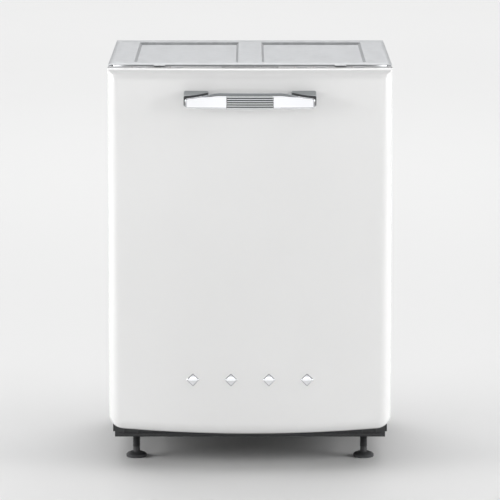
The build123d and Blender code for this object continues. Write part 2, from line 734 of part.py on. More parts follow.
upper_half = 236
upper_arm_z = upper_floor - 30
roller_y = (flange_y + 60, flange_y + 420)
with BuildPart() as upper_rack:
    wire_basket(upper_half, upper_floor, upper_rim, 10, 8, 14)
    for sign in (-1, 1):
        for y in roller_y:
            plate = sorted((sign * (upper_half + 4.4), sign * (upper_half + 7)))
            block(plate, (y - 9, y + 9), (545, 618))
            rods([((sign * (upper_half + 7.1), y, rail_z), (sign * (upper_half + 24.9), y, rail_z))], 3)
            rods([((sign * (upper_half + 25), y, rail_z), (sign * (upper_half + 31), y, rail_z))], 12)
    # water tube to the spray arm, with its mouth at the docking socket
    rods([((0, sump_y + 9.1, upper_floor - 12), (0, rack_back_y - 10, upper_floor - 12))], 7)
    rods([((0, sump_y, upper_arm_z - 10), (0, sump_y, upper_floor - 4))], 9)
    rods([((0, sump_y, upper_arm_z - 14), (0, sump_y, upper_arm_z - 9))], 13)
save(upper_rack, "upper_rack")

shelf_z = 585
shelf_reach = 95
with BuildPart() as cup_shelf:
    hinge_x = -upper_half + 8
    front, back = flange_y + 90, flange_y + 400
    rods([((hinge_x, front, shelf_z), (hinge_x, back, shelf_z))], 2)
    slat_y = steps(front + 5, back - 5, 9)
    rods([((hinge_x + 2.1, y, shelf_z), (hinge_x + shelf_reach, y, shelf_z)) for y in slat_y], 1.6)
    rods([((hinge_x + shelf_reach + 2.2, front, shelf_z), (hinge_x + shelf_reach + 2.2, back, shelf_z))], 2)
save(cup_shelf, "cup_shelf")


# ---- Spray arms ----
def spray_arm(middle_z, half_length, post_radius):
    """Flat blade with a hub, nozzle holes and a bore for its post."""
    with BuildPart() as arm:
        with BuildSketch(Plane.XY.offset(middle_z - 6)):
            with Locations((0, sump_y)):
                SlotOverall(2 * half_length, 34)
        extrude(amount=12)
        with Locations((0, sump_y, middle_z)):
            Cylinder(27, 16)
            Cylinder(post_radius + 0.15, 20, mode=Mode.SUBTRACT)
        shares = (-0.85, -0.6, -0.35, 0.35, 0.6, 0.85)
        holes = [(half_length * share, sump_y, middle_z + 4.5) for share in shares]
        with Locations(*holes):
            Cylinder(1.5, 6, mode=Mode.SUBTRACT)
    return arm


lower_arm_z = tub_floor + 26
save(spray_arm(lower_arm_z, 222, 10), "lower_spray_arm")
save(spray_arm(upper_arm_z, 205, 9), "upper_spray_arm")

# ---- Cutlery basket, standing in the front of the lower rack ----
cutlery_x = (-130, 130)
cutlery_y = (flange_y + 72, flange_y + 142)
cutlery_z = (tine_floor + 0.3, tine_floor + 120)
basket_wall = 2
cell = (cutlery_x[1] - cutlery_x[0] - basket_wall) / 4
with BuildPart() as cutlery_basket:
    block(cutlery_x, cutlery_y, (cutlery_z[0], cutlery_z[0] + basket_wall))
    walls_z = (cutlery_z[0] + basket_wall + weld_gap, cutlery_z[1])
    block(cutlery_x, (cutlery_y[0], cutlery_y[0] + basket_wall), walls_z)
    block(cutlery_x, (cutlery_y[1] - basket_wall, cutlery_y[1]), walls_z)
    between = (cutlery_y[0] + basket_wall + weld_gap, cutlery_y[1] - basket_wall - weld_gap)
    for index in range(5):
        start = cutlery_x[0] + index * cell
        block((start, start + basket_wall), between, walls_z)
save(cutlery_basket, "cutlery_basket")
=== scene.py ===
import bpy
import bmesh
import json
from math import sin, cos, pi, radians
from mathutils import Matrix, Vector


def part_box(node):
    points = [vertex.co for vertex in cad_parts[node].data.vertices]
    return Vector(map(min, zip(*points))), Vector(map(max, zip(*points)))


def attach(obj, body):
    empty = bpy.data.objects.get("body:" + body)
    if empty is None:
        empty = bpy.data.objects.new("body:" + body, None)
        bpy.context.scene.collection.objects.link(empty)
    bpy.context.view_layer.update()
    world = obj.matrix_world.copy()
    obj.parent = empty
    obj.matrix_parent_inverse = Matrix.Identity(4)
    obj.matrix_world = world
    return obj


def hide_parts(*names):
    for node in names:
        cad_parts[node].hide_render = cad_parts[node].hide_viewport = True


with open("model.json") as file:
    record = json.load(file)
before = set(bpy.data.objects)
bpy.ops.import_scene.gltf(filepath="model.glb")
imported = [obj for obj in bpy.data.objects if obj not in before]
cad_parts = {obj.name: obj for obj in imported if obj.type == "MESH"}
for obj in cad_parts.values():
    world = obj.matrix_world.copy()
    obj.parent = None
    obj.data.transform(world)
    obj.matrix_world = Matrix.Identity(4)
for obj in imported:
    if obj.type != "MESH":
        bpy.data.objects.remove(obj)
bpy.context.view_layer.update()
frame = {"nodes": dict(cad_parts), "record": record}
nodes = frame["nodes"]
mm = 0.001

# where the CAD says the main planes are
doorLow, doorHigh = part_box("door_panel")
linerLow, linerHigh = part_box("door_liner")
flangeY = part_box("tub_wall_left")[0].y
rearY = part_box("top_cover")[1].y
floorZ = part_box("tub_floor")[1].z
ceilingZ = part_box("tub_ceiling")[1].z - 18 * mm
tubHalf = 272 * mm


def inMm(sizes, **others):
    # turns sizes written in millimetres into metres, and leaves the others as they are
    if isinstance(sizes, dict):
        return {**{key: inMm(value) for key, value in sizes.items()}, **others}
    if isinstance(sizes, (list, tuple)):
        return type(sizes)(inMm(value) for value in sizes)
    return sizes * mm


def newFinish(name, colour, metallic=0.0, roughness=0.5, sockets=None):
    mat = bpy.data.materials.new(name)
    mat.use_nodes = True
    shader = mat.node_tree.nodes["Principled BSDF"]
    shader.inputs["Base Color"].default_value = (*colour, 1)
    shader.inputs["Metallic"].default_value = metallic
    shader.inputs["Roughness"].default_value = roughness
    for socket, value in (sockets or {}).items():
        shader.inputs[socket].default_value = value
    return mat


def pattern(mat, kind="noise", scale=100.0, stretch=(1, 1, 1), detail=4.0):
    tree = mat.node_tree
    coords = tree.nodes.new("ShaderNodeTexCoord")
    mapping = tree.nodes.new("ShaderNodeMapping")
    mapping.inputs["Scale"].default_value = stretch
    tree.links.new(coords.outputs["Object"], mapping.inputs["Vector"])
    if kind == "noise":
        texture = tree.nodes.new("ShaderNodeTexNoise")
        texture.inputs["Detail"].default_value = detail
        out = texture.outputs["Fac"]
    else:
        texture = tree.nodes.new("ShaderNodeTexVoronoi")
        out = texture.outputs["Color" if kind == "cells" else "Distance"]
    texture.inputs["Scale"].default_value = scale
    tree.links.new(mapping.outputs["Vector"], texture.inputs["Vector"])
    return out


def drive(mat, source, socket, low, high, lowAt=0.3, highAt=0.7):
    tree = mat.node_tree
    shader = tree.nodes["Principled BSDF"]
    ramp = tree.nodes.new("ShaderNodeValToRGB")
    for stop, at, value in ((0, lowAt, low), (1, highAt, high)):
        ramp.color_ramp.elements[stop].position = at
        tone = value if isinstance(value, tuple) else (value, value, value)
        ramp.color_ramp.elements[stop].color = (*tone, 1)
    tree.links.new(source, ramp.inputs["Fac"])
    tree.links.new(ramp.outputs["Color"], shader.inputs[socket])


def bump(mat, source, strength=0.1, distance=0.0005):
    tree = mat.node_tree
    node = tree.nodes.new("ShaderNodeBump")
    node.inputs["Strength"].default_value = strength
    node.inputs["Distance"].default_value = distance
    tree.links.new(source, node.inputs["Height"])
    tree.links.new(node.outputs["Normal"], tree.nodes["Principled BSDF"].inputs["Normal"])


def mouldedPlastic(name, colour, roughness=0.48):
    mat = newFinish(name, colour, roughness=roughness)
    tone = tuple(min(1.0, c * 1.12 + 0.004) for c in colour)
    drive(mat, pattern(mat, scale=14, detail=3), "Base Color", colour, tone)
    drive(mat, pattern(mat, scale=160), "Roughness", roughness - 0.07, roughness + 0.09)
    bump(mat, pattern(mat, scale=900, detail=2), 0.12, 0.0002)
    return mat


def sheetMetal(name, colour, roughness, along=(1, 1, 1), scale=120.0, strength=0.05, vary=0.06):
    mat = newFinish(name, colour, metallic=1.0, roughness=roughness)
    lines = pattern(mat, scale=scale, stretch=along, detail=6)
    drive(mat, lines, "Roughness", roughness - vary, roughness + vary)
    drive(mat, pattern(mat, scale=5, detail=2), "Base Color", tuple(c * 0.95 for c in colour), colour)
    bump(mat, lines, strength, 0.0002)
    return mat


print("finishes")
enamel = newFinish("whiteEnamel", (0.79, 0.79, 0.785), roughness=0.22,
                   sockets={"Coat Weight": 0.5, "Coat Roughness": 0.14, "IOR": 1.5})
drive(enamel, pattern(enamel, scale=3, detail=2), "Base Color", (0.775, 0.775, 0.77), (0.80, 0.80, 0.795))
drive(enamel, pattern(enamel, scale=30), "Roughness", 0.18, 0.26)
bump(enamel, pattern(enamel, scale=240, detail=1), 0.03, 0.0002)

chrome = newFinish("polishedChrome", (0.86, 0.87, 0.89), metallic=1.0, roughness=0.05)
drive(chrome, pattern(chrome, scale=40), "Roughness", 0.035, 0.075)
drive(chrome, pattern(chrome, scale=9, detail=2), "Base Color", (0.83, 0.84, 0.86), (0.89, 0.90, 0.92))

# a dimmer copy of the chrome for the ribs, painted shade that greys them
ribShadeChrome = newFinish("ribShadeChrome", (0.70, 0.72, 0.72), metallic=1.0, roughness=0.08)
drive(ribShadeChrome, pattern(ribShadeChrome, scale=60), "Roughness", 0.06, 0.11)
# near-black copy of the chrome, painted shade for the recess behind the ribs
recessShadeChrome = newFinish("recessShadeChrome", (0.06, 0.065, 0.065), metallic=1.0, roughness=0.3)
drive(recessShadeChrome, pattern(recessShadeChrome, scale=60), "Roughness", 0.25, 0.38)
# a darker copy of the chrome: painted shade on the bar's upper faces and on the end blocks
paintedShadeChrome = newFinish("paintedShadeChrome", (0.40, 0.42, 0.43), metallic=1.0, roughness=0.14)
drive(paintedShadeChrome, pattern(paintedShadeChrome, scale=40), "Roughness", 0.11, 0.18)

stainless = sheetMetal("satinStainless", (0.60, 0.60, 0.59), 0.30, along=(1, 1, 0.03), scale=420,
                       strength=0.015, vary=0.025)
stripSteel = sheetMetal("brushedStrip", (0.50, 0.50, 0.50), 0.30, along=(0.03, 1, 1), scale=420)
buttonSilver = newFinish("buttonSilver", (0.55, 0.55, 0.56), metallic=0.6, roughness=0.35)
drive(buttonSilver, pattern(buttonSilver, scale=300), "Roughness", 0.30, 0.42)

galvanised = newFinish("galvanisedSheet", (0.46, 0.47, 0.48), metallic=0.85, roughness=0.42)
spangle = pattern(galvanised, "cells", scale=95)
drive(galvanised, spangle, "Base Color", (0.43, 0.44, 0.45), (0.50, 0.51, 0.52), 0.1, 0.9)
drive(galvanised, spangle, "Roughness", 0.38, 0.46, 0.1, 0.9)
bump(galvanised, pattern(galvanised, scale=60), 0.04, 0.0003)

springSteel = sheetMetal("springSteel", (0.30, 0.30, 0.31), 0.36, scale=300)
pumpCasing = sheetMetal("pumpCasing", (0.40, 0.40, 0.41), 0.45, scale=90, strength=0.2)
blackPlastic = mouldedPlastic("blackPlastic", (0.032, 0.033, 0.035))
greyPlastic = mouldedPlastic("greyPlastic", (0.21, 0.22, 0.23), 0.42)
lightPlastic = mouldedPlastic("lightPlastic", (0.66, 0.66, 0.64), 0.42)
bluePlastic = mouldedPlastic("bluePlastic", (0.06, 0.15, 0.36), 0.40)
rackCoating = newFinish("rackCoating", (0.30, 0.31, 0.33), roughness=0.42,
                        sockets={"Coat Weight": 0.25, "Coat Roughness": 0.25})
drive(rackCoating, pattern(rackCoating, scale=25), "Base Color", (0.27, 0.28, 0.30), (0.33, 0.34, 0.36))
bump(rackCoating, pattern(rackCoating, scale=700, detail=2), 0.10, 0.0002)
sealRubber = mouldedPlastic("sealRubber", (0.028, 0.028, 0.03), 0.68)
felt = newFinish("soundFelt", (0.07, 0.065, 0.06), roughness=0.95, sockets={"Sheen Weight": 0.4})
drive(felt, pattern(felt, scale=350, detail=8), "Base Color", (0.04, 0.038, 0.035), (0.13, 0.12, 0.11))
bump(felt, pattern(felt, scale=500, detail=8), 0.8, 0.001)
filterMesh = newFinish("filterSheet", (0.45, 0.45, 0.45), metallic=1.0, roughness=0.35)
holes = pattern(filterMesh, "dots", scale=320)
drive(filterMesh, holes, "Base Color", (0.02, 0.02, 0.02), (0.55, 0.55, 0.55), 0.25, 0.35)
displayGlass = newFinish("displayGlass", (0.008, 0.008, 0.01), roughness=0.06,
                         sockets={"Coat Weight": 1.0, "Coat Roughness": 0.02})
drive(displayGlass, pattern(displayGlass, scale=50), "Roughness", 0.05, 0.09)
lampLens = newFinish("lampLens", (0.30, 0.02, 0.01), roughness=0.2, sockets={"Transmission Weight": 0.3})
drive(lampLens, pattern(lampLens, scale=200), "Roughness", 0.15, 0.3)

cadFinish = {
    "white_enamel": enamel, "chrome": chrome, "stainless": stainless, "fascia_steel": stripSteel,
    "button_steel": buttonSilver, "galvanised_steel": galvanised, "spring_steel": springSteel,
    "base_plastic": blackPlastic, "grey_plastic": greyPlastic, "light_plastic": lightPlastic,
    "blue_plastic": bluePlastic, "rack_coating": rackCoating, "seal_rubber": sealRubber,
    "pump_casing": pumpCasing, "felt": felt,
}
for part in frame["record"]["subparts"]:
    mesh = nodes[part["node"]].data
    mesh.materials.clear()
    slotFinish = cadFinish[part["material_slot"]]
    mesh.materials.append(filterMesh if part["node"] == "flat_filter" else slotFinish)


def boxMesh(low, high):
    bm = bmesh.new()
    low, high = Vector(low), Vector(high)
    bmesh.ops.create_cube(bm, size=1)
    bmesh.ops.scale(bm, vec=high - low, verts=bm.verts)
    bmesh.ops.translate(bm, vec=(low + high) / 2, verts=bm.verts)
    return bm


def addBox(bm, low, high):
    low, high = Vector(low), Vector(high)
    made = bmesh.ops.create_cube(bm, size=1)["verts"]
    bmesh.ops.scale(bm, vec=high - low, verts=made)
    bmesh.ops.translate(bm, vec=(low + high) / 2, verts=made)
    return made


def roundOff(bm, edges, offset, segments=3):
    return bmesh.ops.bevel(bm, geom=list(edges), offset=offset, offset_type="OFFSET", segments=segments,
                           profile=0.5, affect="EDGES", clamp_overlap=True, material=-1)


def edgesAlong(bm, axis, least):
    return [e for e in bm.edges if abs(e.verts[0].co[axis] - e.verts[1].co[axis]) > least]


def edgesPast(bm, axis, place, sign=1):
    return [e for e in bm.edges if all((v.co[axis] - place) * sign > 0 for v in e.verts)]


def edgesOf(made, edges):
    return [e for e in edges if all(v in made for v in e.verts)]


def cutAcross(bm, axis, places):
    normal = Vector((0, 0, 0))
    normal[axis] = 1
    for place in places:
        bmesh.ops.bisect_plane(bm, geom=bm.verts[:] + bm.edges[:] + bm.faces[:], dist=1e-7,
                               plane_co=normal * place, plane_no=normal)


def evenly(first, last, count):
    return [first + (last - first) * i / (count - 1) for i in range(count)]


def dropFaces(bm, test):
    dropped = [f for f in bm.faces if test(f.calc_center_median(), f.normal)]
    bmesh.ops.delete(bm, geom=dropped, context="FACES")


def finishPiece(name, bm, finish, body, replaced=(), sharp=35, recalc=False):
    if recalc:
        bmesh.ops.recalc_face_normals(bm, faces=bm.faces)
    mesh = bpy.data.meshes.new(name)
    bm.to_mesh(mesh)
    bm.free()
    mesh.materials.append(finish)
    mesh.polygons.foreach_set("use_smooth", [True] * len(mesh.polygons))
    mesh.set_sharp_from_angle(angle=radians(sharp))
    piece = bpy.data.objects.new(name, mesh)
    bpy.context.scene.collection.objects.link(piece)
    return settle(piece, body, replaced)


def settle(piece, body, replaced=()):
    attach(piece, body)
    if replaced:
        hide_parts(*replaced)
    return piece


def wall(piece, thickness, offset=-1.0):
    solid = piece.modifiers.new("wall", "SOLIDIFY")
    solid.thickness = thickness
    solid.offset = offset
    solid.use_even_offset = True
    return piece


def lathe(bm, profile, centre, axis, steps=40, closed=False):
    # the profile is (radius, along) pairs, from axis to axis, or a closed loop for a ring
    axis = Vector(axis).normalized()
    side = axis.orthogonal().normalized()
    made = [bm.verts.new(Vector(centre) + side * r + axis * along) for r, along in profile]
    following = made[1:] + made[:1] if closed else made[1:]
    edges = [bm.edges.new(pair) for pair in zip(made, following)]
    bmesh.ops.spin(bm, geom=made + edges, cent=centre, axis=axis, angle=2 * pi, steps=steps,
                   use_merge=True, use_duplicate=False)
    bmesh.ops.remove_doubles(bm, verts=bm.verts, dist=1e-6)


openWires = []  # wires are made into meshes once all of their runs are in


def wireCurve(name, radius, finish, body, slotName, replaced=(), sides=2):
    data = bpy.data.curves.new(name, "CURVE")
    data.dimensions = "3D"
    data.bevel_depth = radius
    data.bevel_resolution = sides
    data.resolution_u = 5
    data.use_fill_caps = True
    openWires.append((name, data, finish, body, slotName, replaced))
    return data


def finishWires():
    for name, data, finish, body, slotName, replaced in openWires:
        drawn = bpy.data.objects.new(name + "Path", data)
        bpy.context.scene.collection.objects.link(drawn)
        shape = drawn.evaluated_get(bpy.context.evaluated_depsgraph_get())
        bm = bmesh.new()
        bm.from_mesh(bpy.data.meshes.new_from_object(shape))
        bpy.data.objects.remove(drawn)
        bmesh.ops.remove_doubles(bm, verts=bm.verts, dist=1e-6)
        finishPiece(name, bm, finish, body, replaced, sharp=60, recalc=True)


def bendWire(data, points, bend, closed=False):
    # a wire through the points, with each corner bent to an arc
    points = [Vector(p) for p in points]
    knots = []  # place, handle before, handle after
    count = len(points)
    for i, here in enumerate(points):
        before, after = points[i - 1], points[(i + 1) % count]
        if not closed and i in (0, count - 1):
            knots.append((here, None, None))
            continue
        inward, outward = (before - here).normalized(), (after - here).normalized()
        turn = inward.angle(outward)
        reach = bend / max(0.2, (sin(turn / 2) / cos(turn / 2)))
        reach = min(reach, (before - here).length * 0.49, (after - here).length * 0.49)
        pull = reach * 0.5523 if turn < 1.7 else reach * 0.6
        start, end = here + inward * reach, here + outward * reach
        knots.append((start, None, start - inward * pull))
        knots.append((end, end - outward * pull, None))
    spline = data.splines.new("BEZIER")
    spline.bezier_points.add(len(knots) - 1)
    spline.use_cyclic_u = closed
    for i, (point, (place, before, after)) in enumerate(zip(spline.bezier_points, knots)):
        earlier = knots[i - 1][0]
        later = knots[(i + 1) % len(knots)][0]
        point.handle_left_type = point.handle_right_type = "FREE"
        point.co = place
        point.handle_left = before if before is not None else place + (earlier - place) / 3
        point.handle_right = after if after is not None else place + (later - place) / 3
        if not closed and i == 0:
            point.handle_left = place
        if not closed and i == len(knots) - 1:
            point.handle_right = place


print("floor, light and camera")
studio = {"horizon": (0.26, 0.26, 0.265), "zenith": (0.27, 0.27, 0.275), "floor": (0.76, 0.76, 0.755),
          "floorHalf": 40.0, "distance": 8.0, "elevation": 8.5, "aimZ": 0.4780, "lens": 275.0}
floorMesh = bpy.data.meshes.new("studioFloor")
bm = bmesh.new()
bmesh.ops.create_grid(bm, x_segments=1, y_segments=1, size=studio["floorHalf"])
bm.to_mesh(floorMesh)
bm.free()
floor = bpy.data.objects.new("studioFloor", floorMesh)
bpy.context.scene.collection.objects.link(floor)
floorFinish = newFinish("studioFloor", studio["floor"], roughness=0.75)
drive(floorFinish, pattern(floorFinish, scale=2), "Roughness", 0.72, 0.8)
floorMesh.materials.append(floorFinish)

world = bpy.data.worlds.new("studio")
world.use_nodes = True
bpy.context.scene.world = world
bpy.context.scene.view_settings.view_transform = "Standard"
sky = world.node_tree.nodes["Background"]
coords = world.node_tree.nodes.new("ShaderNodeTexCoord")
parts = world.node_tree.nodes.new("ShaderNodeSeparateXYZ")
ramp = world.node_tree.nodes.new("ShaderNodeValToRGB")
world.node_tree.links.new(coords.outputs["Generated"], parts.inputs["Vector"])
world.node_tree.links.new(parts.outputs["Z"], ramp.inputs["Fac"])
world.node_tree.links.new(ramp.outputs["Color"], sky.inputs["Color"])
for stop, at, tone in ((0, 0.0, "horizon"), (1, 0.6, "zenith")):
    ramp.color_ramp.elements[stop].position = at
    ramp.color_ramp.elements[stop].color = (*studio[tone], 1)


def softLight(name, place, target, size, power):
    data = bpy.data.lights.new(name, "AREA")
    data.shape = "RECTANGLE"
    data.size, data.size_y = size
    data.energy = power
    lamp = bpy.data.objects.new(name, data)
    bpy.context.scene.collection.objects.link(lamp)
    lamp.location = place
    lamp.rotation_euler = (Vector(target) - Vector(place)).to_track_quat("-Z", "Y").to_euler()
    lamp.visible_camera = False


softLight("frontPanel", (0.0, -6.5, 1.7), (0, 0, 0.45), (7.0, 2.4), 24)
softLight("kickPanel", (0.0, -4.2, 0.45), (0, 0, 0.45), (4.6, 0.9), 10.5)
for side, sign in (("left", -1), ("right", 1)):
    softLight(side + "Panel", (sign * 4.4, -1.3, 1.4), (0, -0.25, 0.45), (3.6, 1.8), 158)
softLight("topPanel", (0.0, -1.4, 4.0), (0, -0.2, 0.5), (4.0, 3.0), 14)
softLight("rearPanel", (0.0, 5.0, 4.4), (0, 0.3, 0.4), (6.0, 2.2), 50)
softLight("floorWash", (0.0, 11.0, 8.0), (0, 11.01, 0), (20.0, 16.0), 1480)

cameraData = bpy.data.cameras.new("camera")
cameraData.lens = studio["lens"]
cameraData.sensor_width = 36
cameraData.clip_end = 80
camera = bpy.data.objects.new("camera", cameraData)
bpy.context.scene.collection.objects.link(camera)
tilt = radians(studio["elevation"])
aim = Vector((0, doorLow.y, studio["aimZ"]))
camera.location = aim + studio["distance"] * Vector((0, -cos(tilt), sin(tilt)))
camera.rotation_euler = (pi / 2 - tilt, 0, 0)
bpy.context.scene.camera = camera

print("door panel")
panelSet = inMm({"cornerZ": 94, "bow": 12, "edge": 24, "corner": 28, "skin": 1.5},
                topLip=flangeY - 41 * mm, skirt=flangeY - 45 * mm)
half = doorHigh.x
bm = boxMesh((-half, doorLow.y, panelSet["cornerZ"]), doorHigh)
roundOff(bm, [e for e in bm.edges if all(v.co.z < 0.1 for v in e.verts)
              and abs(e.verts[0].co.x - e.verts[1].co.x) < 1e-6], panelSet["corner"], 10)
roundOff(bm, edgesPast(bm, 1, doorLow.y + 1e-5, -1), panelSet["edge"], 12)
dropFaces(bm, lambda c, n: n.y > 0.9)
cutAcross(bm, 0, evenly(-0.27, 0.27, 28))
cutAcross(bm, 2, evenly(0.13, 0.83, 15))
depth = doorHigh.y - doorLow.y
for v in bm.verts:
    across = min(1.0, abs(v.co.x) / half) ** 2
    near = min(1.0, (doorHigh.y - v.co.y) / depth * 1.35)
    v.co.y += panelSet["bow"] * across * near
    drop = (doorHigh.z - v.co.z) / (doorHigh.z - panelSet["cornerZ"])
    v.co.z -= (panelSet["cornerZ"] - doorLow.z) * (1 - across) * drop
inner = half - panelSet["skin"]
cutAcross(bm, 1, [panelSet["topLip"], panelSet["skirt"]])
cutAcross(bm, 0, [-inner, inner])
dropFaces(bm, lambda c, n: c.z > doorHigh.z - 1e-4 and c.y > panelSet["topLip"] and abs(c.x) < inner)
dropFaces(bm, lambda c, n: c.z < 0.118 and c.y > panelSet["skirt"] and abs(c.x) < inner and n.z < -0.2)
panel = finishPiece("doorPanel", bm, enamel, "door", ["door_panel"], sharp=40)
wall(panel, panelSet["skin"])

print("handle")
barLow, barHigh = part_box("handle_bar")
handleSet = inMm({"thick": 11, "bow": 13, "ribProud": 1.2, "endDrop": 11, "endLift": 2, "dropFrom": 60,
                  "dropTo": 134, "ribPitch": 4.6, "ribTall": 2.9, "ribHalf": 48, "topRound": 9,
                  "lowRound": 4, "blockIn": 86, "endGap": 2.5, "slope": 5.5, "slopeBack": 5}, ribs=6)
barHalf = barHigh.x
barFront = barLow.y + handleSet["ribProud"]
barBack = barFront + handleSet["thick"]
barMid = (barLow.z + barHigh.z) / 2
ribMid = barMid - 2.0 * mm
deepEdge = 5 * mm  # edges longer than this from front to back are the bar's and the blocks' corners


def easeStep(value, start, end):
    t = max(0.0, min(1.0, (value - start) / (end - start)))
    return t * t * (3 - 2 * t)


def bendBar(bm, grow=0.0):
    # bows the bar and brings its upper edge down towards the ends
    for v in bm.verts:
        across = (v.co.x / barHalf) ** 2
        v.co.y += handleSet["bow"] * across
        rise = (v.co.z - barLow.z) / (barHigh.z - barLow.z)
        fall = handleSet["endDrop"] * easeStep(abs(v.co.x), handleSet["dropFrom"],
                                               handleSet["dropTo"]) - grow
        v.co.z += handleSet["endLift"] * across * (1 - rise) - fall * rise


def bowBack(bm):
    cutAcross(bm, 0, evenly(-0.044, 0.044, 23))
    for v in bm.verts:
        v.co.y += handleSet["bow"] * (v.co.x / barHalf) ** 2


def slopeTop(bm):
    # lays the front's top edge back over the middle of the bar
    for v in bm.verts:
        high = max(0.0, v.co.z - (barHigh.z - handleSet["slope"])) / handleSet["slope"]
        front = max(0.0, (barBack - v.co.y) / handleSet["thick"])
        middle = 1 - easeStep(abs(v.co.x), handleSet["dropFrom"] + 10 * mm,
                              handleSet["dropFrom"] + 40 * mm)
        v.co.y += handleSet["slopeBack"] * high * front * middle


barEnd = barHalf - handleSet["endGap"]
bm = boxMesh((-barEnd, barFront, barLow.z), (barEnd, barBack, barHigh.z))
roundOff(bm, [e for e in edgesAlong(bm, 1, deepEdge) if e.verts[0].co.z > barMid],
         handleSet["topRound"], 8)
roundOff(bm, [e for e in edgesAlong(bm, 1, deepEdge) if e.verts[0].co.z < barMid],
         handleSet["lowRound"], 4)
roundOff(bm, edgesPast(bm, 1, barFront + 1e-5, -1), 2.6 * mm, 4)
cutAcross(bm, 0, evenly(-0.128, 0.128, 65))
cutAcross(bm, 2, evenly(barMid - 10 * mm, barMid + 10 * mm, 5))
cutAcross(bm, 2, [barHigh.z - handleSet["slope"], barHigh.z - handleSet["slope"] - 0.4 * mm])
slopeTop(bm)
bendBar(bm)
bm.normal_update()
# the bar's upward faces over the middle take the darker chrome, painted shade
for face in bm.faces:
    face.material_index = int(face.normal.z > 0.45 and abs(face.calc_center_median().x) < 0.1)
handleBar = finishPiece("handleBar", bm, chrome, "door", ["handle_bar"], sharp=45)
handleBar.data.materials.append(paintedShadeChrome)

ribTall, ribHalf = handleSet["ribTall"], handleSet["ribHalf"]
bm = bmesh.new()
for i in range(handleSet["ribs"]):
    z = ribMid + (i - (handleSet["ribs"] - 1) / 2) * handleSet["ribPitch"]
    addBox(bm, (-ribHalf, barLow.y, z - ribTall / 2), (ribHalf, barFront + 1 * mm, z + ribTall / 2))
roundOff(bm, edgesPast(bm, 1, barLow.y + 0.1 * mm, -1), 0.7 * mm, 3)
bowBack(bm)
finishPiece("handleRibs", bm, ribShadeChrome, "door", sharp=40)

# a near-black chrome sheet behind the ribs, painted shade in the gaps between them
bm = boxMesh((-ribHalf - 1 * mm, barFront - 0.25 * mm, ribMid - 12.4 * mm),
             (ribHalf + 1 * mm, barFront + 1 * mm, ribMid + 12.4 * mm))
roundOff(bm, edgesPast(bm, 1, barFront, -1), 0.2 * mm, 2)
bowBack(bm)
finishPiece("handleRecessShade", bm, recessShadeChrome, "door", sharp=40)

postLow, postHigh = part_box("handle_posts")
bm = bmesh.new()
for sign in (-1, 1):
    ends = sorted((sign * handleSet["blockIn"], sign * barHalf))
    addBox(bm, (ends[0], postLow.y, postLow.z), (ends[1], postHigh.y, postHigh.z))
roundOff(bm, edgesAlong(bm, 1, deepEdge), 4 * mm, 5)
cutAcross(bm, 0, [s * x * mm for s in (-1, 1) for x in (95, 104, 112, 120, 129)])
for v in bm.verts:
    across = (v.co.x / barHalf) ** 2
    back = barBack + handleSet["bow"] * across + 1.2 * mm
    t = (v.co.y - postLow.y) / (postHigh.y - postLow.y)
    v.co.y = back + t * (postHigh.y - back)
    rise = (v.co.z - postLow.z) / (postHigh.z - postLow.z)
    v.co.z -= rise * (1 - t) * 7 * mm
finishPiece("handleBlocks", bm, paintedShadeChrome, "door", ["handle_posts"], sharp=40)

# a black strip between each block and the bar, painted shade for the shadowed gap there
bm = bmesh.new()
for sign in (-1, 1):
    ends = sorted((sign * handleSet["blockIn"], sign * (barHalf - 0.2 * mm)))
    addBox(bm, (ends[0], barBack - 0.5 * mm, barLow.z + 4 * mm), (ends[1], barBack + 1.4 * mm, barHigh.z))
roundOff(bm, edgesAlong(bm, 1, 1.5 * mm), 4 * mm, 5)
cutAcross(bm, 0, [s * x * mm for s in (-1, 1) for x in (92, 98, 104, 110, 116, 122, 128, 133)])
bendBar(bm, grow=3.6 * mm)
finishPiece("handleGapShade", bm, blackPlastic, "door", sharp=40)

print("studs")
studLow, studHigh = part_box("trim_studs")
studSet = inMm({"pitch": 80, "reach": 15, "table": 11, "proud": 2.6}, z=(studLow.z + studHigh.z) / 2,
               count=4, lean=radians(5))
bm = bmesh.new()
for i in range(studSet["count"]):
    x = (i - (studSet["count"] - 1) / 2) * studSet["pitch"]
    face = doorLow.y + panelSet["bow"] * (x / half) ** 2
    low, high = studSet["reach"], studSet["table"]
    deep = studSet["proud"] + 1 * mm
    made = bmesh.ops.create_cone(bm, cap_ends=True, segments=4, radius1=low, radius2=high,
                                 depth=deep)["verts"]
    bmesh.ops.rotate(bm, verts=made, cent=(0, 0, 0), matrix=Matrix.Rotation(pi / 2, 3, "X"))
    bmesh.ops.rotate(bm, verts=made, cent=(0, 0, 0), matrix=Matrix.Rotation(-studSet["lean"], 3, "X"))
    bmesh.ops.translate(bm, verts=made, vec=(x, face + 1 * mm - deep / 2, studSet["z"]))
roundOff(bm, bm.edges, 0.5 * mm, 2)
finishPiece("trimStuds", bm, chrome, "door", ["trim_studs"], sharp=20)

print("casing")
caseSet = inMm({"sheet": 1, "fold": 1.5, "border": 5, "press": 4, "roofPress": 5})


def pressFields(bm, axis, fields, depth):
    # presses each field, given as (low, high) pairs across the two other axes, into the sheet
    others = [a for a in (0, 1, 2) if a != axis]
    for spans in fields:
        for other, (low, high) in zip(others, spans):
            cutAcross(bm, other, [low, high])
    for spans in fields:
        limits = list(zip(others, spans))
        chosen = [f for f in bm.faces if abs(f.normal[axis]) > 0.99
                  and all(low < f.calc_center_median()[a] < high for a, (low, high) in limits)]
        bmesh.ops.inset_region(bm, faces=chosen, thickness=caseSet["border"], depth=-depth,
                               use_boundary=True, use_even_offset=True)


def foldEdges(bm):
    # rounds the folds of a bent sheet, where two faces meet at a right angle
    folds = [e for e in bm.edges if len(e.link_faces) == 2 and e.calc_face_angle() > 0.9]
    roundOff(bm, folds, caseSet["fold"], 3)


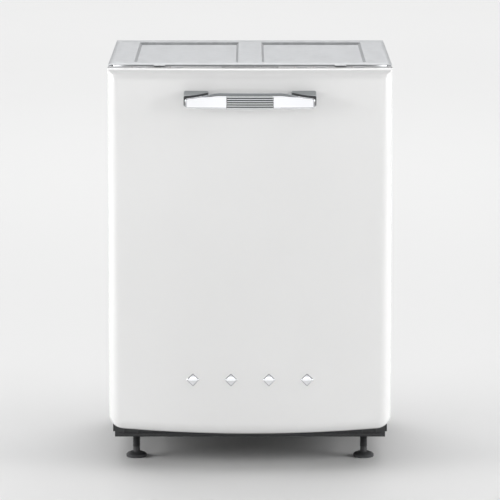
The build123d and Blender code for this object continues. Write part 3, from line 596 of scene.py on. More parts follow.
for side, sign in (("left", -1), ("right", 1)):
    low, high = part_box("side_panel_" + side)
    bm = boxMesh(low, high)
    dropFaces(bm, lambda c, n: n.x * sign < -0.9 or n.y > 0.9 or n.z < -0.9)
    foldEdges(bm)
    across = (low.y + 45 * mm, high.y - 45 * mm)
    pressFields(bm, 0, [(across, (low.z + 45 * mm, 0.50)), (across, (0.55, high.z - 50 * mm))],
                caseSet["press"])
    piece = finishPiece("sidePanel" + side.capitalize(), bm, galvanised, "cabinet",
                        ["side_panel_" + side])
    wall(piece, caseSet["sheet"])

low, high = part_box("top_cover")
bm = boxMesh(low, high)
dropFaces(bm, lambda c, n: n.z < 0.9 and n.y > -0.9)
foldEdges(bm)
cutAcross(bm, 0, [-0.288, 0.288])
dropFaces(bm, lambda c, n: n.y < -0.9 and abs(c.x) > 0.288)
deep = (low.y + 50 * mm, high.y - 50 * mm)
pressFields(bm, 2, [((-0.245, -0.025), deep), ((0.025, 0.245), deep)], caseSet["roofPress"])
wall(finishPiece("topCover", bm, galvanised, "cabinet", ["top_cover"]),
     caseSet["sheet"])

low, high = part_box("rear_panel")
bm = boxMesh(low, high)
dropFaces(bm, lambda c, n: n.y < 0.9)
wide = (-0.25, 0.25)
pressFields(bm, 1, [(wide, (0.23, 0.50)), (wide, (0.54, 0.81))], caseSet["press"])
for z in evenly(0.62, 0.73, 8):
    addBox(bm, (-0.07, high.y - 4.6 * mm, z - 2 * mm), (0.07, high.y - 1.8 * mm, z + 2 * mm))
wall(finishPiece("rearPanel", bm, galvanised, "cabinet", ["rear_panel"]),
     caseSet["sheet"])

screwSet = inMm({"radius": 3.5, "rise": 1.6, "recess": 1.9})


def screwHead(bm, place, axis, size=1.0):
    r, rise, recess = (screwSet[k] * size for k in ("radius", "rise", "recess"))
    lathe(bm, [(0, -0.4 * mm), (r, -0.4 * mm), (r, 0.4 * rise), (r * 0.75, 0.85 * rise), (recess, rise),
               (recess * 0.9, 0.2 * rise), (0, 0.2 * rise)], place, axis, steps=12)


screwHeights = (0.24, 0.42, 0.60, 0.78)
low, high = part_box("cabinet_screws")
bm = bmesh.new()
for x in (-0.285, 0.285):
    for z in screwHeights:
        screwHead(bm, (x, low.y, z), (0, 1, 0))
finishPiece("cabinetScrews", bm, springSteel, "cabinet", ["cabinet_screws"], recalc=True)

# the two sound pads are limp mats: their faces are a little uneven
low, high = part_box("insulation_pads")
bm = bmesh.new()
for sign in (-1, 1):
    ends = sorted((sign * 273.8 * mm, sign * 279.6 * mm))
    addBox(bm, (ends[0], low.y, low.z), (ends[1], high.y, high.z))
roundOff(bm, bm.edges, 2 * mm, 2)
cutAcross(bm, 1, evenly(low.y + 10 * mm, high.y - 10 * mm, 24))
cutAcross(bm, 2, evenly(low.z + 10 * mm, high.z - 10 * mm, 30))
for v in bm.verts:
    swell = 0.5 * mm * sin(v.co.y * 31 + v.co.z * 17) * cos(v.co.z * 23 - v.co.y * 11)
    v.co.x += swell if abs(v.co.x) > 276.7 * mm else 0
finishPiece("soundPads", bm, felt, "cabinet", ["insulation_pads"])

print("tub")
tubSet = inMm({"topRound": 30, "backRound": 26, "flange": 18, "sheet": 1, "depth": 500})
bm = boxMesh((-tubHalf, flangeY, floorZ), (tubHalf, flangeY + tubSet["depth"], ceilingZ))
dropFaces(bm, lambda c, n: n.y < -0.9 or n.z < -0.9)
alongY = [e for e in bm.edges if len(e.link_faces) == 2 and abs(e.verts[0].co.y - e.verts[1].co.y) > 0.1]
roundOff(bm, alongY, tubSet["topRound"], 8)
atBack = [e for e in bm.edges if all(v.co.y > flangeY + tubSet["depth"] - 1e-5 for v in e.verts)
          and len(e.link_faces) == 2 and e.calc_face_angle() > 0.9]
roundOff(bm, atBack, tubSet["backRound"], 6)
# shallow pressed beads in the side walls
beadHeights = (0.34, 0.46, 0.70)
for z in beadHeights:
    cutAcross(bm, 2, [z - 6 * mm, z - 3 * mm, z + 3 * mm, z + 6 * mm])
cutAcross(bm, 1, [flangeY + 60 * mm, flangeY + 450 * mm])
cutAcross(bm, 0, [-0.2, 0.2])
for v in bm.verts:
    bead = any(abs(v.co.z - z) < 4 * mm for z in beadHeights)
    if bead and abs(v.co.x) > tubHalf - 1e-5 and flangeY + 0.05 < v.co.y < flangeY + 0.46:
        v.co.x += 1.2 * mm if v.co.x > 0 else -1.2 * mm
rim = [e for e in bm.edges if e.is_boundary and all(v.co.y < flangeY + 1e-5 for v in e.verts)]
grown = bmesh.ops.extrude_edge_only(bm, edges=rim)["geom"]
for v in (g for g in grown if isinstance(g, bmesh.types.BMVert)):
    v.co.x *= (tubHalf + tubSet["flange"]) / tubHalf
    v.co.z = floorZ + (v.co.z - floorZ) * (ceilingZ + tubSet["flange"] - floorZ) / (ceilingZ - floorZ)
roundOff(bm, [e for e in bm.edges if len(e.link_faces) == 2 and e.calc_face_angle(0) > 1.2
              and all(v.co.y < flangeY + 1e-5 for v in e.verts)], 2 * mm, 3)
shell = finishPiece("tubShell", bm, stainless, "cabinet",
                    ["tub_wall_left", "tub_wall_right", "tub_ceiling", "tub_back"], sharp=40)
wall(shell, tubSet["sheet"], 1.0)

bm = boxMesh((-8 * mm, flangeY - 16 * mm, 818 * mm), (8 * mm, flangeY + 12 * mm, 825 * mm))
addBox(bm, (-8 * mm, flangeY + 5 * mm, 824 * mm), (8 * mm, flangeY + 11 * mm, 829.8 * mm))
roundOff(bm, edgesPast(bm, 1, flangeY - 15 * mm, -1), 2.5 * mm, 4)
finishPiece("striker", bm, springSteel, "cabinet")

sealSet = inMm({"bulb": 2.8, "lip": 1.3, "half": 278, "low": 186, "high": 836, "bend": 9})
bulb = wireCurve("doorSeal", sealSet["bulb"], sealRubber, "cabinet", "seal_rubber", ["door_seal"], 4)
lip = wireCurve("doorSealLip", sealSet["lip"], sealRubber, "cabinet", "seal_rubber")
for data, step, ahead in ((bulb, 0, sealSet["bulb"]), (lip, 3.4 * mm, sealSet["lip"])):
    x, low, high = sealSet["half"] - step, sealSet["low"] + step, sealSet["high"] - step
    y = flangeY - ahead - 0.1 * mm
    bendWire(data, [(-x, y, low), (x, y, low), (x, y, high), (-x, y, high)], sealSet["bend"], closed=True)

print("door inside")
linerSet = inMm({"sheet": 1, "corner": 12, "fold": 4, "press": 4, "window": ((-90, 115), (430, 540)),
                 "slot": ((-11, 11), (814, 829))})
bm = boxMesh(linerLow, linerHigh)
dropFaces(bm, lambda c, n: n.y < -0.9)
roundOff(bm, edgesAlong(bm, 1, 5 * mm), linerSet["corner"], 6)
roundOff(bm, edgesPast(bm, 1, linerHigh.y - 1e-5), linerSet["fold"], 4)
(wx0, wx1), (wz0, wz1) = linerSet["window"]
(sx0, sx1), (sz0, sz1) = linerSet["slot"]
cutAcross(bm, 0, [wx0, wx1, sx0, sx1])
cutAcross(bm, 2, [wz0, wz1, sz0, sz1])
for x0, x1, z0, z1 in ((wx0, wx1, wz0, wz1), (sx0, sx1, sz0, sz1)):
    dropFaces(bm, lambda c, n: n.y > 0.9 and x0 < c.x < x1 and z0 < c.z < z1)
wide = (-0.235, 0.235)
pressFields(bm, 1, [(wide, (0.205, 0.405)), (wide, (0.565, 0.785))], linerSet["press"])
wall(finishPiece("doorLiner", bm, stainless, "door", ["door_liner"], sharp=30),
     linerSet["sheet"])

bm = bmesh.new()
for x in (-0.262, 0.262):
    for z in screwHeights:
        screwHead(bm, (x, linerHigh.y, z), (0, 1, 0), 1.1)
finishPiece("linerScrews", bm, springSteel, "door", recalc=True)


def sheetRing(low, high, radius, border, y):
    # flat ring with round corners, facing +Y
    bm = bmesh.new()
    corners = ((low[0], y, low[1]), (low[0], y, high[1]), (high[0], y, high[1]), (high[0], y, low[1]))
    bm.faces.new([bm.verts.new(corner) for corner in corners])
    bmesh.ops.bevel(bm, geom=bm.verts[:], offset=radius, offset_type="OFFSET", segments=6, profile=0.5,
                    affect="VERTICES", material=-1)
    bmesh.ops.inset_region(bm, faces=bm.faces[:], thickness=border, use_boundary=True,
                           use_even_offset=True)
    middle = Vector(((low[0] + high[0]) / 2, y, (low[1] + high[1]) / 2))
    inside = min(bm.faces, key=lambda f: (f.calc_center_median() - middle).length)
    bmesh.ops.delete(bm, geom=[inside], context="FACES")
    bmesh.ops.recalc_face_normals(bm, faces=bm.faces)
    if sum(f.normal.y for f in bm.faces) < 0:
        bmesh.ops.reverse_faces(bm, faces=bm.faces)
    return bm


dispenserSet = inMm({"bezel": 6, "proud": 1.5, "lid": ((-25, 40), (445, 525)), "cap": (82, 485),
                     "capRadius": 18})
bm = sheetRing((wx0 - 5 * mm, wz0 - 5 * mm), (wx1 + 5 * mm, wz1 + 5 * mm), 10 * mm, dispenserSet["bezel"],
               linerHigh.y + dispenserSet["proud"])
wall(finishPiece("dispenserBezel", bm, greyPlastic, "door"), 1.4 * mm)

(lx0, lx1), (lz0, lz1) = dispenserSet["lid"]
lidLow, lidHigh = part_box("detergent_lid")
lidFace = linerHigh.y + 4.8 * mm
bm = boxMesh((lx0, lidLow.y, lz0), (lx1, lidFace, lz1))
roundOff(bm, edgesAlong(bm, 1, 2 * mm), 6 * mm, 6)
roundOff(bm, edgesPast(bm, 1, lidFace - 1e-5), 1 * mm, 3)
px0, px1, pz0, pz1 = lx0 + 22 * mm, lx1 - 8 * mm, lz0 + 12 * mm, lz1 - 12 * mm
cutAcross(bm, 0, [px0, px1])
cutAcross(bm, 2, [pz0, pz1])
pocket = [f for f in bm.faces if f.normal.y > 0.9 and px0 < f.calc_center_median().x < px1
          and pz0 < f.calc_center_median().z < pz1]
bmesh.ops.inset_region(bm, faces=pocket, thickness=2 * mm, depth=-1.2 * mm, use_boundary=True)
for i in range(3):
    x = lx0 + 8 * mm + i * 4 * mm
    addBox(bm, (x, lidFace - 0.5 * mm, lz0 + 20 * mm), (x + 1.8 * mm, lidHigh.y, lz1 - 20 * mm))
finishPiece("detergentLid", bm, greyPlastic, "detergent_lid", ["detergent_lid"])

capX, capZ = dispenserSet["cap"]
capLow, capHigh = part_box("rinse_aid_cap")
r = dispenserSet["capRadius"]
bm = bmesh.new()
capFace = capHigh.y - 3.5 * mm
capSide = [(0, capLow.y), (r - 1 * mm, capLow.y), (r - 1 * mm, capFace - 3 * mm), (r, capFace - 2 * mm),
           (r, capFace - 1 * mm)]
capFront = [(r - 1.5 * mm, capFace), (r - 5 * mm, capFace), (r - 6 * mm, capFace - 1 * mm),
            (0, capFace - 1 * mm)]
lathe(bm, capSide + capFront, (capX, 0, capZ), (0, 1, 0), steps=48)
made = addBox(bm, (capX - 13 * mm, capFace - 2 * mm, capZ - 3 * mm),
              (capX + 13 * mm, capHigh.y, capZ + 3 * mm))
roundOff(bm, edgesOf(made, edgesPast(bm, 1, capHigh.y - 1e-5)), 1.4 * mm, 3)
finishPiece("rinseAidCap", bm, bluePlastic, "rinse_aid_cap", ["rinse_aid_cap"],
            recalc=True)

stripSet = inMm({"glassHalf": 59, "glassDeep": 8, "lampAside": 17})
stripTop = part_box("control_fascia")[1].z
buttonY = flangeY - 24 * mm
bm = boxMesh((-stripSet["glassHalf"], buttonY - stripSet["glassDeep"], stripTop - 1 * mm),
             (stripSet["glassHalf"], buttonY + stripSet["glassDeep"], stripTop - 0.1 * mm))
roundOff(bm, edgesAlong(bm, 2, 0.5 * mm), 3 * mm, 4)
roundOff(bm, edgesPast(bm, 2, stripTop - 0.2 * mm), 0.3 * mm, 2)
finishPiece("displayWindow", bm, displayGlass, "door")
bm = bmesh.new()
for x in (-230, -150, 110, 150, 230):
    lathe(bm, inMm([(0, -0.3), (1.5, -0.3), (1.5, 0.1), (0.9, 0.45), (0, 0.55)]),
          (x * mm - stripSet["lampAside"], buttonY, stripTop), (0, 0, 1), steps=16)
finishPiece("stripLamps", bm, lampLens, "door", recalc=True)

print("racks")
rackSet = inMm({"wire": 2.0, "rim": 3.0, "bend": 9, "rimBend": 16, "tine": 1.8, "shelf": 1.6},
               front=flangeY + 24 * mm, back=flangeY + 470 * mm)
lowerSet = inMm({"half": 250, "floor": 240, "rim": 378, "chamfer": 40}, long=11, cross=8)
upperSet = inMm({"half": 236, "floor": 522, "rim": 640, "chamfer": 14}, long=10, cross=8)


def bentRack(name, body, settings, replaced):
    wire, front, back = rackSet["wire"], rackSet["front"], rackSet["back"]
    rackHalf, rackFloor, rackRim, chamfer = (settings[k] for k in ("half", "floor", "rim", "chamfer"))
    wires = wireCurve(name + "Wires", wire, rackCoating, body, "rack_coating", replaced)
    for x in evenly(-rackHalf + 20 * mm, rackHalf - 20 * mm, settings["long"]):
        bendWire(wires, [(x, front, rackRim), (x, front, rackFloor + chamfer),
                         (x, front + chamfer, rackFloor),
                         (x, back, rackFloor), (x, back, rackRim)], rackSet["bend"])
    second = rackFloor + 2 * wire
    edge = rackHalf + wire
    for y in evenly(front + chamfer + 16 * mm, back - 14 * mm, settings["cross"]):
        bendWire(wires, [(-edge, y, rackRim), (-edge, y, second), (edge, y, second), (edge, y, rackRim)],
                 rackSet["bend"])
    z = (rackFloor + chamfer + rackRim) / 2
    inX, inFront, inBack = edge - 2 * wire, front + 2 * wire, back - 2 * wire
    bendWire(wires, [(-inX, inFront, z), (inX, inFront, z), (inX, inBack, z), (-inX, inBack, z)],
             rackSet["rimBend"], closed=True)
    rim = wireCurve(name + "Rim", rackSet["rim"], rackCoating, body, "rack_coating")
    bendWire(rim, [(-edge, front, rackRim), (edge, front, rackRim), (edge, back, rackRim),
                   (-edge, back, rackRim)],
             rackSet["rimBend"], closed=True)


bentRack("lowerRack", "lower_rack", lowerSet, ["lower_rack"])
bentRack("upperRack", "upper_rack", upperSet, ["upper_rack"])

# fixed plate tines stand on a base wire of their own; the folding row turns on its shaft
tineSet = inMm({"half": 220, "base": 248.2, "shaft": 252, "top": 324},
               rows=(flangeY + 200 * mm, flangeY + 240 * mm), fold=flangeY + 330 * mm, count=16)
tines = wireCurve("fixedTines", rackSet["tine"], rackCoating, "lower_rack", "rack_coating")
folding = wireCurve("foldingTines", rackSet["tine"], rackCoating, "plate_tines", "rack_coating",
                    ["plate_tines"])
tineRows = [(tines, y, tineSet["base"]) for y in tineSet["rows"]]
for data, y, z in tineRows + [(folding, tineSet["fold"], tineSet["shaft"])]:
    bendWire(data, [(-tineSet["half"] - 5 * mm, y, z), (tineSet["half"] + 5 * mm, y, z)], 0)
    for x in evenly(-tineSet["half"], tineSet["half"], tineSet["count"]):
        bendWire(data, [(x, y, z), (x, y, tineSet["top"] - 14 * mm), (x, y - 2.5 * mm, tineSet["top"])],
                 6 * mm)

shelfLow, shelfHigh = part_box("cup_shelf")
frameWire = wireCurve("cupShelfFrame", rackSet["wire"], rackCoating, "cup_shelf", "rack_coating",
                      ["cup_shelf"])
slats = wireCurve("cupShelfSlats", rackSet["shelf"], rackCoating, "cup_shelf", "rack_coating")
x0, x1 = -228 * mm, shelfHigh.x - rackSet["wire"]
y0, y1, z = shelfLow.y + 2 * mm, shelfHigh.y - 2 * mm, 585 * mm
bendWire(frameWire, [(x0, y0, z), (x1, y0, z), (x1, y1, z), (x0, y1, z)], 10 * mm, closed=True)
for y in evenly(y0 + 18 * mm, y1 - 18 * mm, 9):
    bendWire(slats, [(x0, y, z), (x0 + 40 * mm, y, z - 2 * mm), (x1, y, z)], 20 * mm)

# grips clipped over the front rims
for name, body, settings in (("lowerRackGrip", "lower_rack", lowerSet),
                             ("upperRackGrip", "upper_rack", upperSet)):
    z = settings["rim"]
    bm = boxMesh((-62 * mm, rackSet["front"] - 7 * mm, z - 13 * mm),
                 (62 * mm, rackSet["front"] + 6 * mm, z + 7 * mm))
    roundOff(bm, bm.edges, 4.5 * mm, 4)
    cutAcross(bm, 0, evenly(-0.055, 0.055, 12))
    for v in bm.verts:
        v.co.z += 4 * mm * (1 - (v.co.x / 0.062) ** 2) * (1 if v.co.z > z else 0.4)
    finishPiece(name, bm, greyPlastic, body)

wheelSet = inMm({"radius": 18, "middle": 262.2, "z": 208.3}, rows={"front": 129, "rear": 430})
for row, along in wheelSet["rows"].items():
    y = flangeY + along * mm
    bm = bmesh.new()
    bracket = bmesh.new()
    for sign in (-1, 1):
        inner = [(4.1, -4.3), (7.5, -4.3), (8.5, -3.3), (8.5, -1.2), (14, -1.2), (14.6, -3.6)]
        tread = [(15.4, -4.3), (17.2, -4.3), (18, -3.5), (18, 3.5), (17.2, 4.3), (15.4, 4.3)]
        outer = [(14.6, 3.6), (14, 1.2), (8.5, 1.2), (8.5, 3.3), (7.5, 4.3), (4.1, 4.3)]
        centre = Vector((sign * wheelSet["middle"], y, wheelSet["z"]))
        lathe(bm, inMm(inner + tread + outer), centre, (1, 0, 0), steps=32, closed=True)
        for i in range(6):
            spoke = addBox(bm, centre + Vector(inMm((-3, -0.9, 8))),
                           centre + Vector(inMm((3, 0.9, 14.8))))
            bmesh.ops.rotate(bm, verts=spoke, cent=centre, matrix=Matrix.Rotation(i * pi / 3, 3, "X"))
        plate = sorted((sign * 254.2 * mm, sign * 257.3 * mm))
        addBox(bracket, (plate[0], y - 9 * mm, 199 * mm), (plate[1], y + 9 * mm, 262 * mm))
        tab = sorted((sign * 245 * mm, sign * 255 * mm))
        addBox(bracket, (tab[0], y - 8 * mm, 229 * mm), (tab[1], y + 8 * mm, 236.4 * mm))
        lathe(bracket, inMm([(0, -8), (3.95, -8), (3.95, 4.6), (5.4, 4.8), (5.0, 5.7), (0, 5.7)]),
              centre, (sign, 0, 0), steps=24)
    finishPiece(row + "Wheels", bm, greyPlastic, row + "_wheels", [row + "_wheels"],
                recalc=True)
    roundOff(bracket, [e for e in bracket.edges if e.calc_length() > 6 * mm and len(e.link_faces) == 2
                       and e.calc_face_angle() > 1.5 and abs(e.verts[0].co.x - e.verts[1].co.x) < 1e-6
                       and abs(e.verts[0].co.z - e.verts[1].co.z) < 1e-6], 3 * mm, 3)
    finishPiece(row + "WheelBrackets", bracket, greyPlastic, "lower_rack", recalc=True)

bm = bmesh.new()
for x in (-184, -46, 46, 184):
    addBox(bm, ((x - 4) * mm, tineSet["fold"] - 6 * mm, 242.2 * mm),
           ((x + 4) * mm, tineSet["fold"] + 6 * mm, 250 * mm))
roundOff(bm, bm.edges, 1.2 * mm, 2)
finishPiece("tineSaddles", bm, greyPlastic, "lower_rack")

rollerSet = inMm({"z": 600, "plate": (240.4, 243.2)}, rows=(60, 420))
rollers, plates = bmesh.new(), bmesh.new()
for sign in (-1, 1):
    for along in rollerSet["rows"]:
        y = flangeY + along * mm
        place = Vector((sign * 264 * mm, y, rollerSet["z"]))
        lathe(rollers, inMm([(0, -23), (3, -23), (3, -3.4), (6, -3), (11, -3), (12, -2), (12, 2),
                             (11, 3), (8, 3), (7, 2), (0, 2)]), place, (sign, 0, 0), steps=32)
        ends = sorted((sign * rollerSet["plate"][0], sign * rollerSet["plate"][1]))
        addBox(plates, (ends[0], y - 11 * mm, 545 * mm), (ends[1], y + 11 * mm, 630 * mm))
roundOff(plates, edgesAlong(plates, 0, 2 * mm), 6 * mm, 5)
roundOff(plates, [e for e in plates.edges if e.calc_face_angle(0) > 1.5], 0.6 * mm, 2)
finishPiece("upperRackRollers", rollers, lightPlastic, "upper_rack", recalc=True)
finishPiece("upperRackBrackets", plates, greyPlastic, "upper_rack")

basketLow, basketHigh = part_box("cutlery_basket")
basketSet = inMm({"bar": 2.2, "pitch": 8.6, "rim": 6, "wall": 2}, cells=4)
bm = bmesh.new()
width, deep = basketHigh.x - basketLow.x, basketHigh.y - basketLow.y
bands = [(basketLow.z, basketLow.z + 8 * mm), (basketLow.z + 38 * mm, basketLow.z + 41 * mm),
         (basketLow.z + 78 * mm, basketLow.z + 81 * mm), (basketHigh.z - basketSet["rim"], basketHigh.z)]
thick = basketSet["wall"]
for y in (basketLow.y, basketHigh.y - thick):
    for low, high in bands:
        addBox(bm, (basketLow.x, y, low), (basketHigh.x, y + thick, high))
    for x in evenly(basketLow.x, basketHigh.x - basketSet["bar"], int(width / basketSet["pitch"]) + 1):
        addBox(bm, (x, y + 0.2 * mm, basketLow.z + 4 * mm),
               (x + basketSet["bar"], y + thick - 0.2 * mm, basketHigh.z - 3 * mm))
for x in evenly(basketLow.x, basketHigh.x - thick, basketSet["cells"] + 1):
    for low, high in bands:
        addBox(bm, (x, basketLow.y + 1 * mm, low), (x + thick, basketHigh.y - 1 * mm, high))
    for y in evenly(basketLow.y + 8 * mm, basketHigh.y - 10 * mm, 7):
        addBox(bm, (x + 0.2 * mm, y, basketLow.z + 4 * mm),
               (x + thick - 0.2 * mm, y + basketSet["bar"], basketHigh.z - 3 * mm))
for y in evenly(basketLow.y + 9 * mm, basketHigh.y - 11 * mm, 6):
    addBox(bm, (basketLow.x + 1 * mm, y, basketLow.z + 0.2 * mm),
           (basketHigh.x - 1 * mm, y + 2 * mm, basketLow.z + 2.4 * mm))
for x in evenly(basketLow.x + 10 * mm, basketHigh.x - 12 * mm, 24):
    addBox(bm, (x, basketLow.y + 1 * mm, basketLow.z),
           (x + 2 * mm, basketHigh.y - 1 * mm, basketLow.z + 2 * mm))
finishPiece("cutleryBasket", bm, greyPlastic, "lower_rack", ["cutlery_basket"])
carry = wireCurve("basketHandle", 3.2 * mm, greyPlastic, "lower_rack", "grey_plastic", sides=3)
y = (basketLow.y + basketHigh.y) / 2
top = basketHigh.z
bendWire(carry, [(-66 * mm, y, top - 8 * mm), (-58 * mm, y, top + 34 * mm), (58 * mm, y, top + 34 * mm),
                 (66 * mm, y, top - 8 * mm)], 16 * mm)

print("water works")
sumpY = flangeY + 250 * mm
armSet = inMm({"width": 34}, narrow=0.28, thin=0.30, nozzles=(0.30, 0.52, 0.72, 0.88))


def sprayArm(name, body, node, capTop):
    low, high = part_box(node)
    reach, middle = high.x, (low.z + high.z) / 2
    deepHalf = armSet["width"] / 2
    bm = boxMesh((-reach, sumpY - deepHalf, middle - 6 * mm), (reach, sumpY + deepHalf, middle + 6 * mm))
    roundOff(bm, edgesAlong(bm, 2, 5 * mm), deepHalf * 0.97, 8)
    cutAcross(bm, 0, evenly(-reach + 20 * mm, reach - 20 * mm, 22))
    roundOff(bm, [e for e in bm.edges if len(e.link_faces) == 2 and e.calc_face_angle(0) > 1.2],
             2.6 * mm, 3)
    cutAcross(bm, 1, [sumpY - 4 * mm, sumpY + 4 * mm])
    for v in bm.verts:
        share = abs(v.co.x) / reach
        v.co.y = sumpY + (v.co.y - sumpY) * (1 - armSet["narrow"] * share)
        v.co.z = middle + (v.co.z - middle) * (1 - armSet["thin"] * share)
        if v.co.z > middle and abs(v.co.y - sumpY) > 5 * mm:
            v.co.z -= 1.6 * mm * (v.co.y - sumpY) / deepHalf * (1 if v.co.x > 0 else -1)
    hub = inMm([(0, -7.4), (24, -7.4), (27, -5), (27, 5), (23, 8), (16, 8)])
    neck = [(15 * mm, capTop * 0.7), (11 * mm, capTop), (0, capTop)]
    lathe(bm, hub + neck, (0, sumpY, middle), (0, 0, 1), steps=36)
    for sign in (-1, 1):
        for share in armSet["nozzles"]:
            top = middle + 6 * mm * (1 - armSet["thin"] * share)
            lathe(bm, inMm([(1.1, -1.2), (4.6, -1.2), (4.2, 0.9), (2.6, 1.2), (1.1, 0.2)]),
                  (sign * reach * share, sumpY, top), (0, 0, 1), steps=14, closed=True)
    finishPiece(name, bm, greyPlastic, body, [node], recalc=True)


sprayArm("lowerSprayArm", "lower_spray_arm", "lower_spray_arm", 15 * mm)
sprayArm("upperSprayArm", "upper_spray_arm", "upper_spray_arm", 8.4 * mm)

tube = wireCurve("upperRackTube", 7.6 * mm, greyPlastic, "upper_rack", "rack_coating", sides=4)
tubeZ = 510 * mm
bendWire(tube, [(0, flangeY + 460 * mm, tubeZ), (0, sumpY, tubeZ), (0, sumpY, 484 * mm)], 20 * mm)
bm = bmesh.new()
lathe(bm, inMm([(5, 0), (12.5, 0), (12.5, 2), (8.6, 12), (5, 12)]),
      (0, flangeY + 466 * mm, tubeZ), (0, -1, 0), steps=28, closed=True)
lathe(bm, inMm([(0, -5.5), (13, -5.5), (13, -1), (9, 0.5), (9, 2), (0, 2)]),
      (0, sumpY, 483 * mm), (0, 0, 1), steps=32)
for x in (-1, 1):
    addBox(bm, (x * 12 * mm - 2 * mm, sumpY + 90 * mm, tubeZ - 2 * mm),
           (x * 12 * mm + 2 * mm, sumpY + 98 * mm, 521 * mm))
finishPiece("upperRackTubeEnds", bm, greyPlastic, "upper_rack", recalc=True)

pipeY = flangeY + 486 * mm
feed = wireCurve("feedPipe", 9 * mm, greyPlastic, "cabinet", "grey_plastic", ["feed_pipe"], sides=4)
bendWire(feed, [(0, pipeY, 187.5 * mm), (0, pipeY, 814 * mm), (0, sumpY - 10 * mm, 814 * mm)], 26 * mm)
bm = boxMesh((-17 * mm, flangeY + 468 * mm, 485 * mm), (17 * mm, flangeY + 480 * mm, 515 * mm))
roundOff(bm, edgesAlong(bm, 1, 5 * mm), 6 * mm, 5)
roundOff(bm, edgesPast(bm, 1, flangeY + 468.1 * mm, -1), 1.2 * mm, 3)
lathe(bm, inMm([(11, 0), (13, 0), (13.4, 1.6), (11, 1.6)]),
      (0, flangeY + 468.2 * mm, 500 * mm), (0, -1, 0), steps=28, closed=True)
for z in (0.30, 0.40, 0.64, 0.74):
    addBox(bm, (-15 * mm, flangeY + 492 * mm, z - 6 * mm), (15 * mm, flangeY + 499 * mm, z + 6 * mm))
finishPiece("feedPipeSocket", bm, greyPlastic, "cabinet", recalc=True)

bm = bmesh.new()
lathe(bm, inMm([(0, -6), (8, -6), (12, -4), (40, -3), (46, 0), (46, 3), (40, 5), (14, 8), (0, 8)]),
      (0, sumpY, 802 * mm), (0, 0, 1), steps=48)
for i in range(10):
    turn = i * pi / 5
    lathe(bm, inMm([(1.2, 0), (3, 0), (2.6, 1.4), (1.2, 1)]),
          (32 * mm * cos(turn), sumpY + 32 * mm * sin(turn), 799 * mm), (0, 0, -1), steps=10, closed=True)
finishPiece("ceilingSprayer", bm, greyPlastic, "cabinet", ["ceiling_sprayer"],
            recalc=True)

# two caps in the tub floor: each has a knurled rim and a bar to turn it by
capFamily = {
    "salt_cap": inMm({"rim": 34, "skirt": 29.5, "bar": 24, "rise": 5.5},
                     name="saltCap", finish=lightPlastic, slot="light_plastic"),
    "filter_cup": inMm({"rim": 36, "skirt": 30, "bar": 30, "rise": 1.5},
                       name="filterCup", finish=bluePlastic, slot="blue_plastic"),
}
for node, settings in capFamily.items():
    low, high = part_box(node)
    centre = Vector(((low.x + high.x) / 2, (low.y + high.y) / 2, 0))
    rim, skirt = settings["rim"], settings["skirt"]
    rimZ = floorZ + settings["rise"]
    hollow = skirt - 2 * mm
    outside = [(0, low.z), (skirt, low.z), (skirt, rimZ - 3 * mm), (rim, rimZ - 3 * mm),
               (rim, rimZ - 0.6 * mm), (rim - 0.8 * mm, rimZ)]
    if node == "salt_cap":  # a lid with a shallow dish
        inside = [(hollow + 3 * mm, rimZ), (hollow, rimZ - 1.5 * mm), (0, rimZ - 1.5 * mm)]
    else:  # a deep cup
        inside = [(hollow, rimZ), (hollow, low.z + 3 * mm), (0, low.z + 3 * mm)]
    bm = bmesh.new()
    lathe(bm, outside + inside, centre, (0, 0, 1), steps=72)
    for v in bm.verts:
        aside = Vector((v.co.x - centre.x, v.co.y - centre.y, 0))
        if aside.length > rim - 0.3 * mm and int(round(aside.angle(Vector((1, 0, 0))) / (pi / 36))) % 2:
            v.co -= aside.normalized() * 1.2 * mm
    made = addBox(bm, centre + Vector((-settings["bar"], -2.6 * mm, rimZ - 2 * mm)),
                  Vector((centre.x + settings["bar"], centre.y + 2.6 * mm, high.z)))
    roundOff(bm, edgesOf(made, edgesPast(bm, 2, high.z - 1e-5)), 1.4 * mm, 3)
    finishPiece(settings["name"], bm, settings["finish"], node, [node], recalc=True)

bm = bmesh.new()
lathe(bm, inMm([(97, -1.2), (104, -1.2), (104, 0.4), (101, 0.9), (97, 0.5)]),
      (0, sumpY, floorZ), (0, 0, 1), steps=72, closed=True)
finishPiece("sumpRing", bm, stainless, "cabinet", recalc=True)

bm = bmesh.new()
turns = [(13.2 if i % 2 else 12.0, i * 1.3) for i in range(15)]
lathe(bm, [(9 * mm, 0)] + [(r * mm, a * mm) for r, a in turns] + [(9 * mm, 18.2 * mm)],
      (0.2, rearY - 21 * mm, 0.11), (0, 1, 0), steps=32, closed=True)
barbs = [p for i in range(3) for p in ((9.2, 3 + i * 6), (10.6, 3.6 + i * 6), (9.2, 8 + i * 6))]
lathe(bm, [(8 * mm, 1 * mm)] + [(r * mm, a * mm) for r, a in barbs] + [(8 * mm, 21 * mm)],
      (-0.2, rearY - 24 * mm, 0.12), (0, 1, 0), steps=28, closed=True)
finishPiece("hoseThreads", bm, lightPlastic, "cabinet", recalc=True)

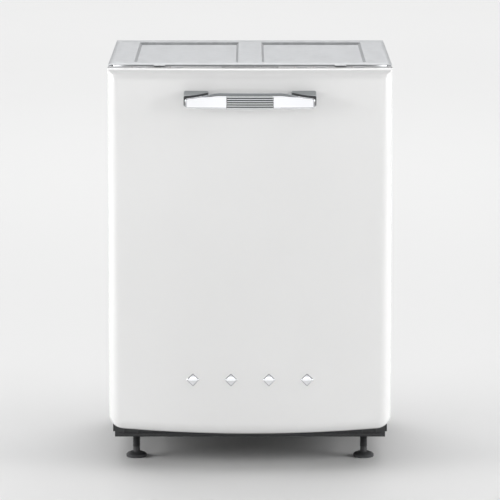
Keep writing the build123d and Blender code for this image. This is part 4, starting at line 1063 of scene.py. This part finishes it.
print("base and feet")
bm = bmesh.new()
baseLow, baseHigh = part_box("base_pan")
for x in evenly(-0.270, 0.270, 19):
    addBox(bm, (x - 1.5 * mm, baseLow.y - 3 * mm, 60 * mm), (x + 1.5 * mm, baseLow.y + 1 * mm, 122 * mm))
addBox(bm, (-0.276, baseLow.y - 3.5 * mm, 118 * mm), (0.276, baseLow.y + 1 * mm, 124 * mm))
addBox(bm, (-0.284, baseLow.y - 3.5 * mm, 54 * mm), (0.284, baseLow.y + 1 * mm, 60 * mm))
for sign in (-1, 1):
    for y in evenly(baseLow.y + 30 * mm, baseHigh.y - 20 * mm, 13):
        ends = sorted((sign * 289.5 * mm, sign * 295 * mm))
        addBox(bm, (ends[0], y - 1.5 * mm, 58 * mm), (ends[1], y + 1.5 * mm, 176 * mm))
roundOff(bm, [e for e in bm.edges if e.calc_length() > 20 * mm], 0.8 * mm, 2)
finishPiece("basePanRibs", bm, blackPlastic, "cabinet")

footSet = inMm({"radius": 22, "stem": 8, "pitch": 2.5, "stemTop": 99, "threadLow": 22, "plate": 60})
footPlaces = {"foot_front_left": (-0.245, flangeY + 0.106), "foot_front_right": (0.245, flangeY + 0.106),
              "foot_rear": (0, flangeY + 0.5)}
for node, (x, y) in footPlaces.items():
    bm = bmesh.new()
    r = footSet["stem"]
    count = int((footSet["stemTop"] - footSet["threadLow"]) / footSet["pitch"] * 2)
    thread = [(r if i % 2 else r - 1.1 * mm,
               footSet["threadLow"] + i * footSet["pitch"] / 2) for i in range(count)]
    stemEnd = [(r - 1.5 * mm, footSet["stemTop"]), (0, footSet["stemTop"])]
    lathe(bm, [(0, 6 * mm), (r, 6 * mm)] + thread + stemEnd, (x, y, 0), (0, 0, 1), steps=28)
    nut = bmesh.ops.create_cone(bm, cap_ends=True, segments=6, radius1=13 * mm, radius2=13 * mm,
                                depth=6 * mm)["verts"]
    bmesh.ops.translate(bm, verts=nut, vec=(x, y, 8.6 * mm))
    if node == "foot_rear":
        reach = footSet["plate"]
        made = addBox(bm, (x - reach - footSet["radius"], y - footSet["radius"], 0),
                      (x + reach + footSet["radius"], y + footSet["radius"], 9 * mm))
        roundOff(bm, edgesOf(made, edgesAlong(bm, 2, 5 * mm)), footSet["radius"] * 0.98, 12)
        roundOff(bm, [e for e in bm.edges if all(abs(v.co.z - 9 * mm) < 1e-5 for v in e.verts)
                      and e.calc_face_angle(0) > 1.3 and max(abs(v.co.x) for v in e.verts) > 15 * mm],
                 2.5 * mm, 3)
    else:
        lathe(bm, inMm([(0, 0), (20.8, 0), (22, 1.2), (22, 6), (19, 9), (13, 11), (0, 11)]), (x, y, 0),
              (0, 0, 1), steps=44)
    name = "foot" + "".join(word.capitalize() for word in node.split("_")[1:])
    finishPiece(name, bm, blackPlastic, node, [node], recalc=True)

springSet = inMm({"z": 84, "x": 270, "first": 190, "last": 400, "radius": 7.4, "wire": 1.5}, turns=48,
                 steps=8)
coils = wireCurve("doorSprings", springSet["wire"], springSteel, "cabinet", "spring_steel",
                  ["door_springs"])
coils.resolution_u = 2
for sign in (-1, 1):
    x = sign * springSet["x"]
    count = springSet["turns"] * springSet["steps"] + 1
    coil = coils.splines.new("NURBS")
    coil.points.add(count - 1)
    for i, point in enumerate(coil.points):
        turn = 2 * pi * i / springSet["steps"]
        y = flangeY + springSet["first"] + (springSet["last"] - springSet["first"]) * i / (count - 1)
        point.co = (x + springSet["radius"] * cos(turn), y,
                    springSet["z"] + springSet["radius"] * sin(turn), 1)
    coil.order_u = 3
    coil.use_endpoint_u = True
    for near, far in ((springSet["first"], 150 * mm), (springSet["last"], 430 * mm)):
        bendWire(coils, [(x + springSet["radius"], flangeY + near, springSet["z"]),
                         (x, flangeY + (near + far) / 2, springSet["z"]),
                         (x, flangeY + far, springSet["z"])], 6 * mm)
bm = bmesh.new()
for sign in (-1, 1):
    x = sign * springSet["x"]
    addBox(bm, (x - 5 * mm, flangeY + 430 * mm, 55 * mm), (x + 5 * mm, flangeY + 436 * mm, 93 * mm))
roundOff(bm, edgesPast(bm, 2, 92 * mm), 2.5 * mm, 4)
finishPiece("springAnchors", bm, springSteel, "cabinet")

finishWires()
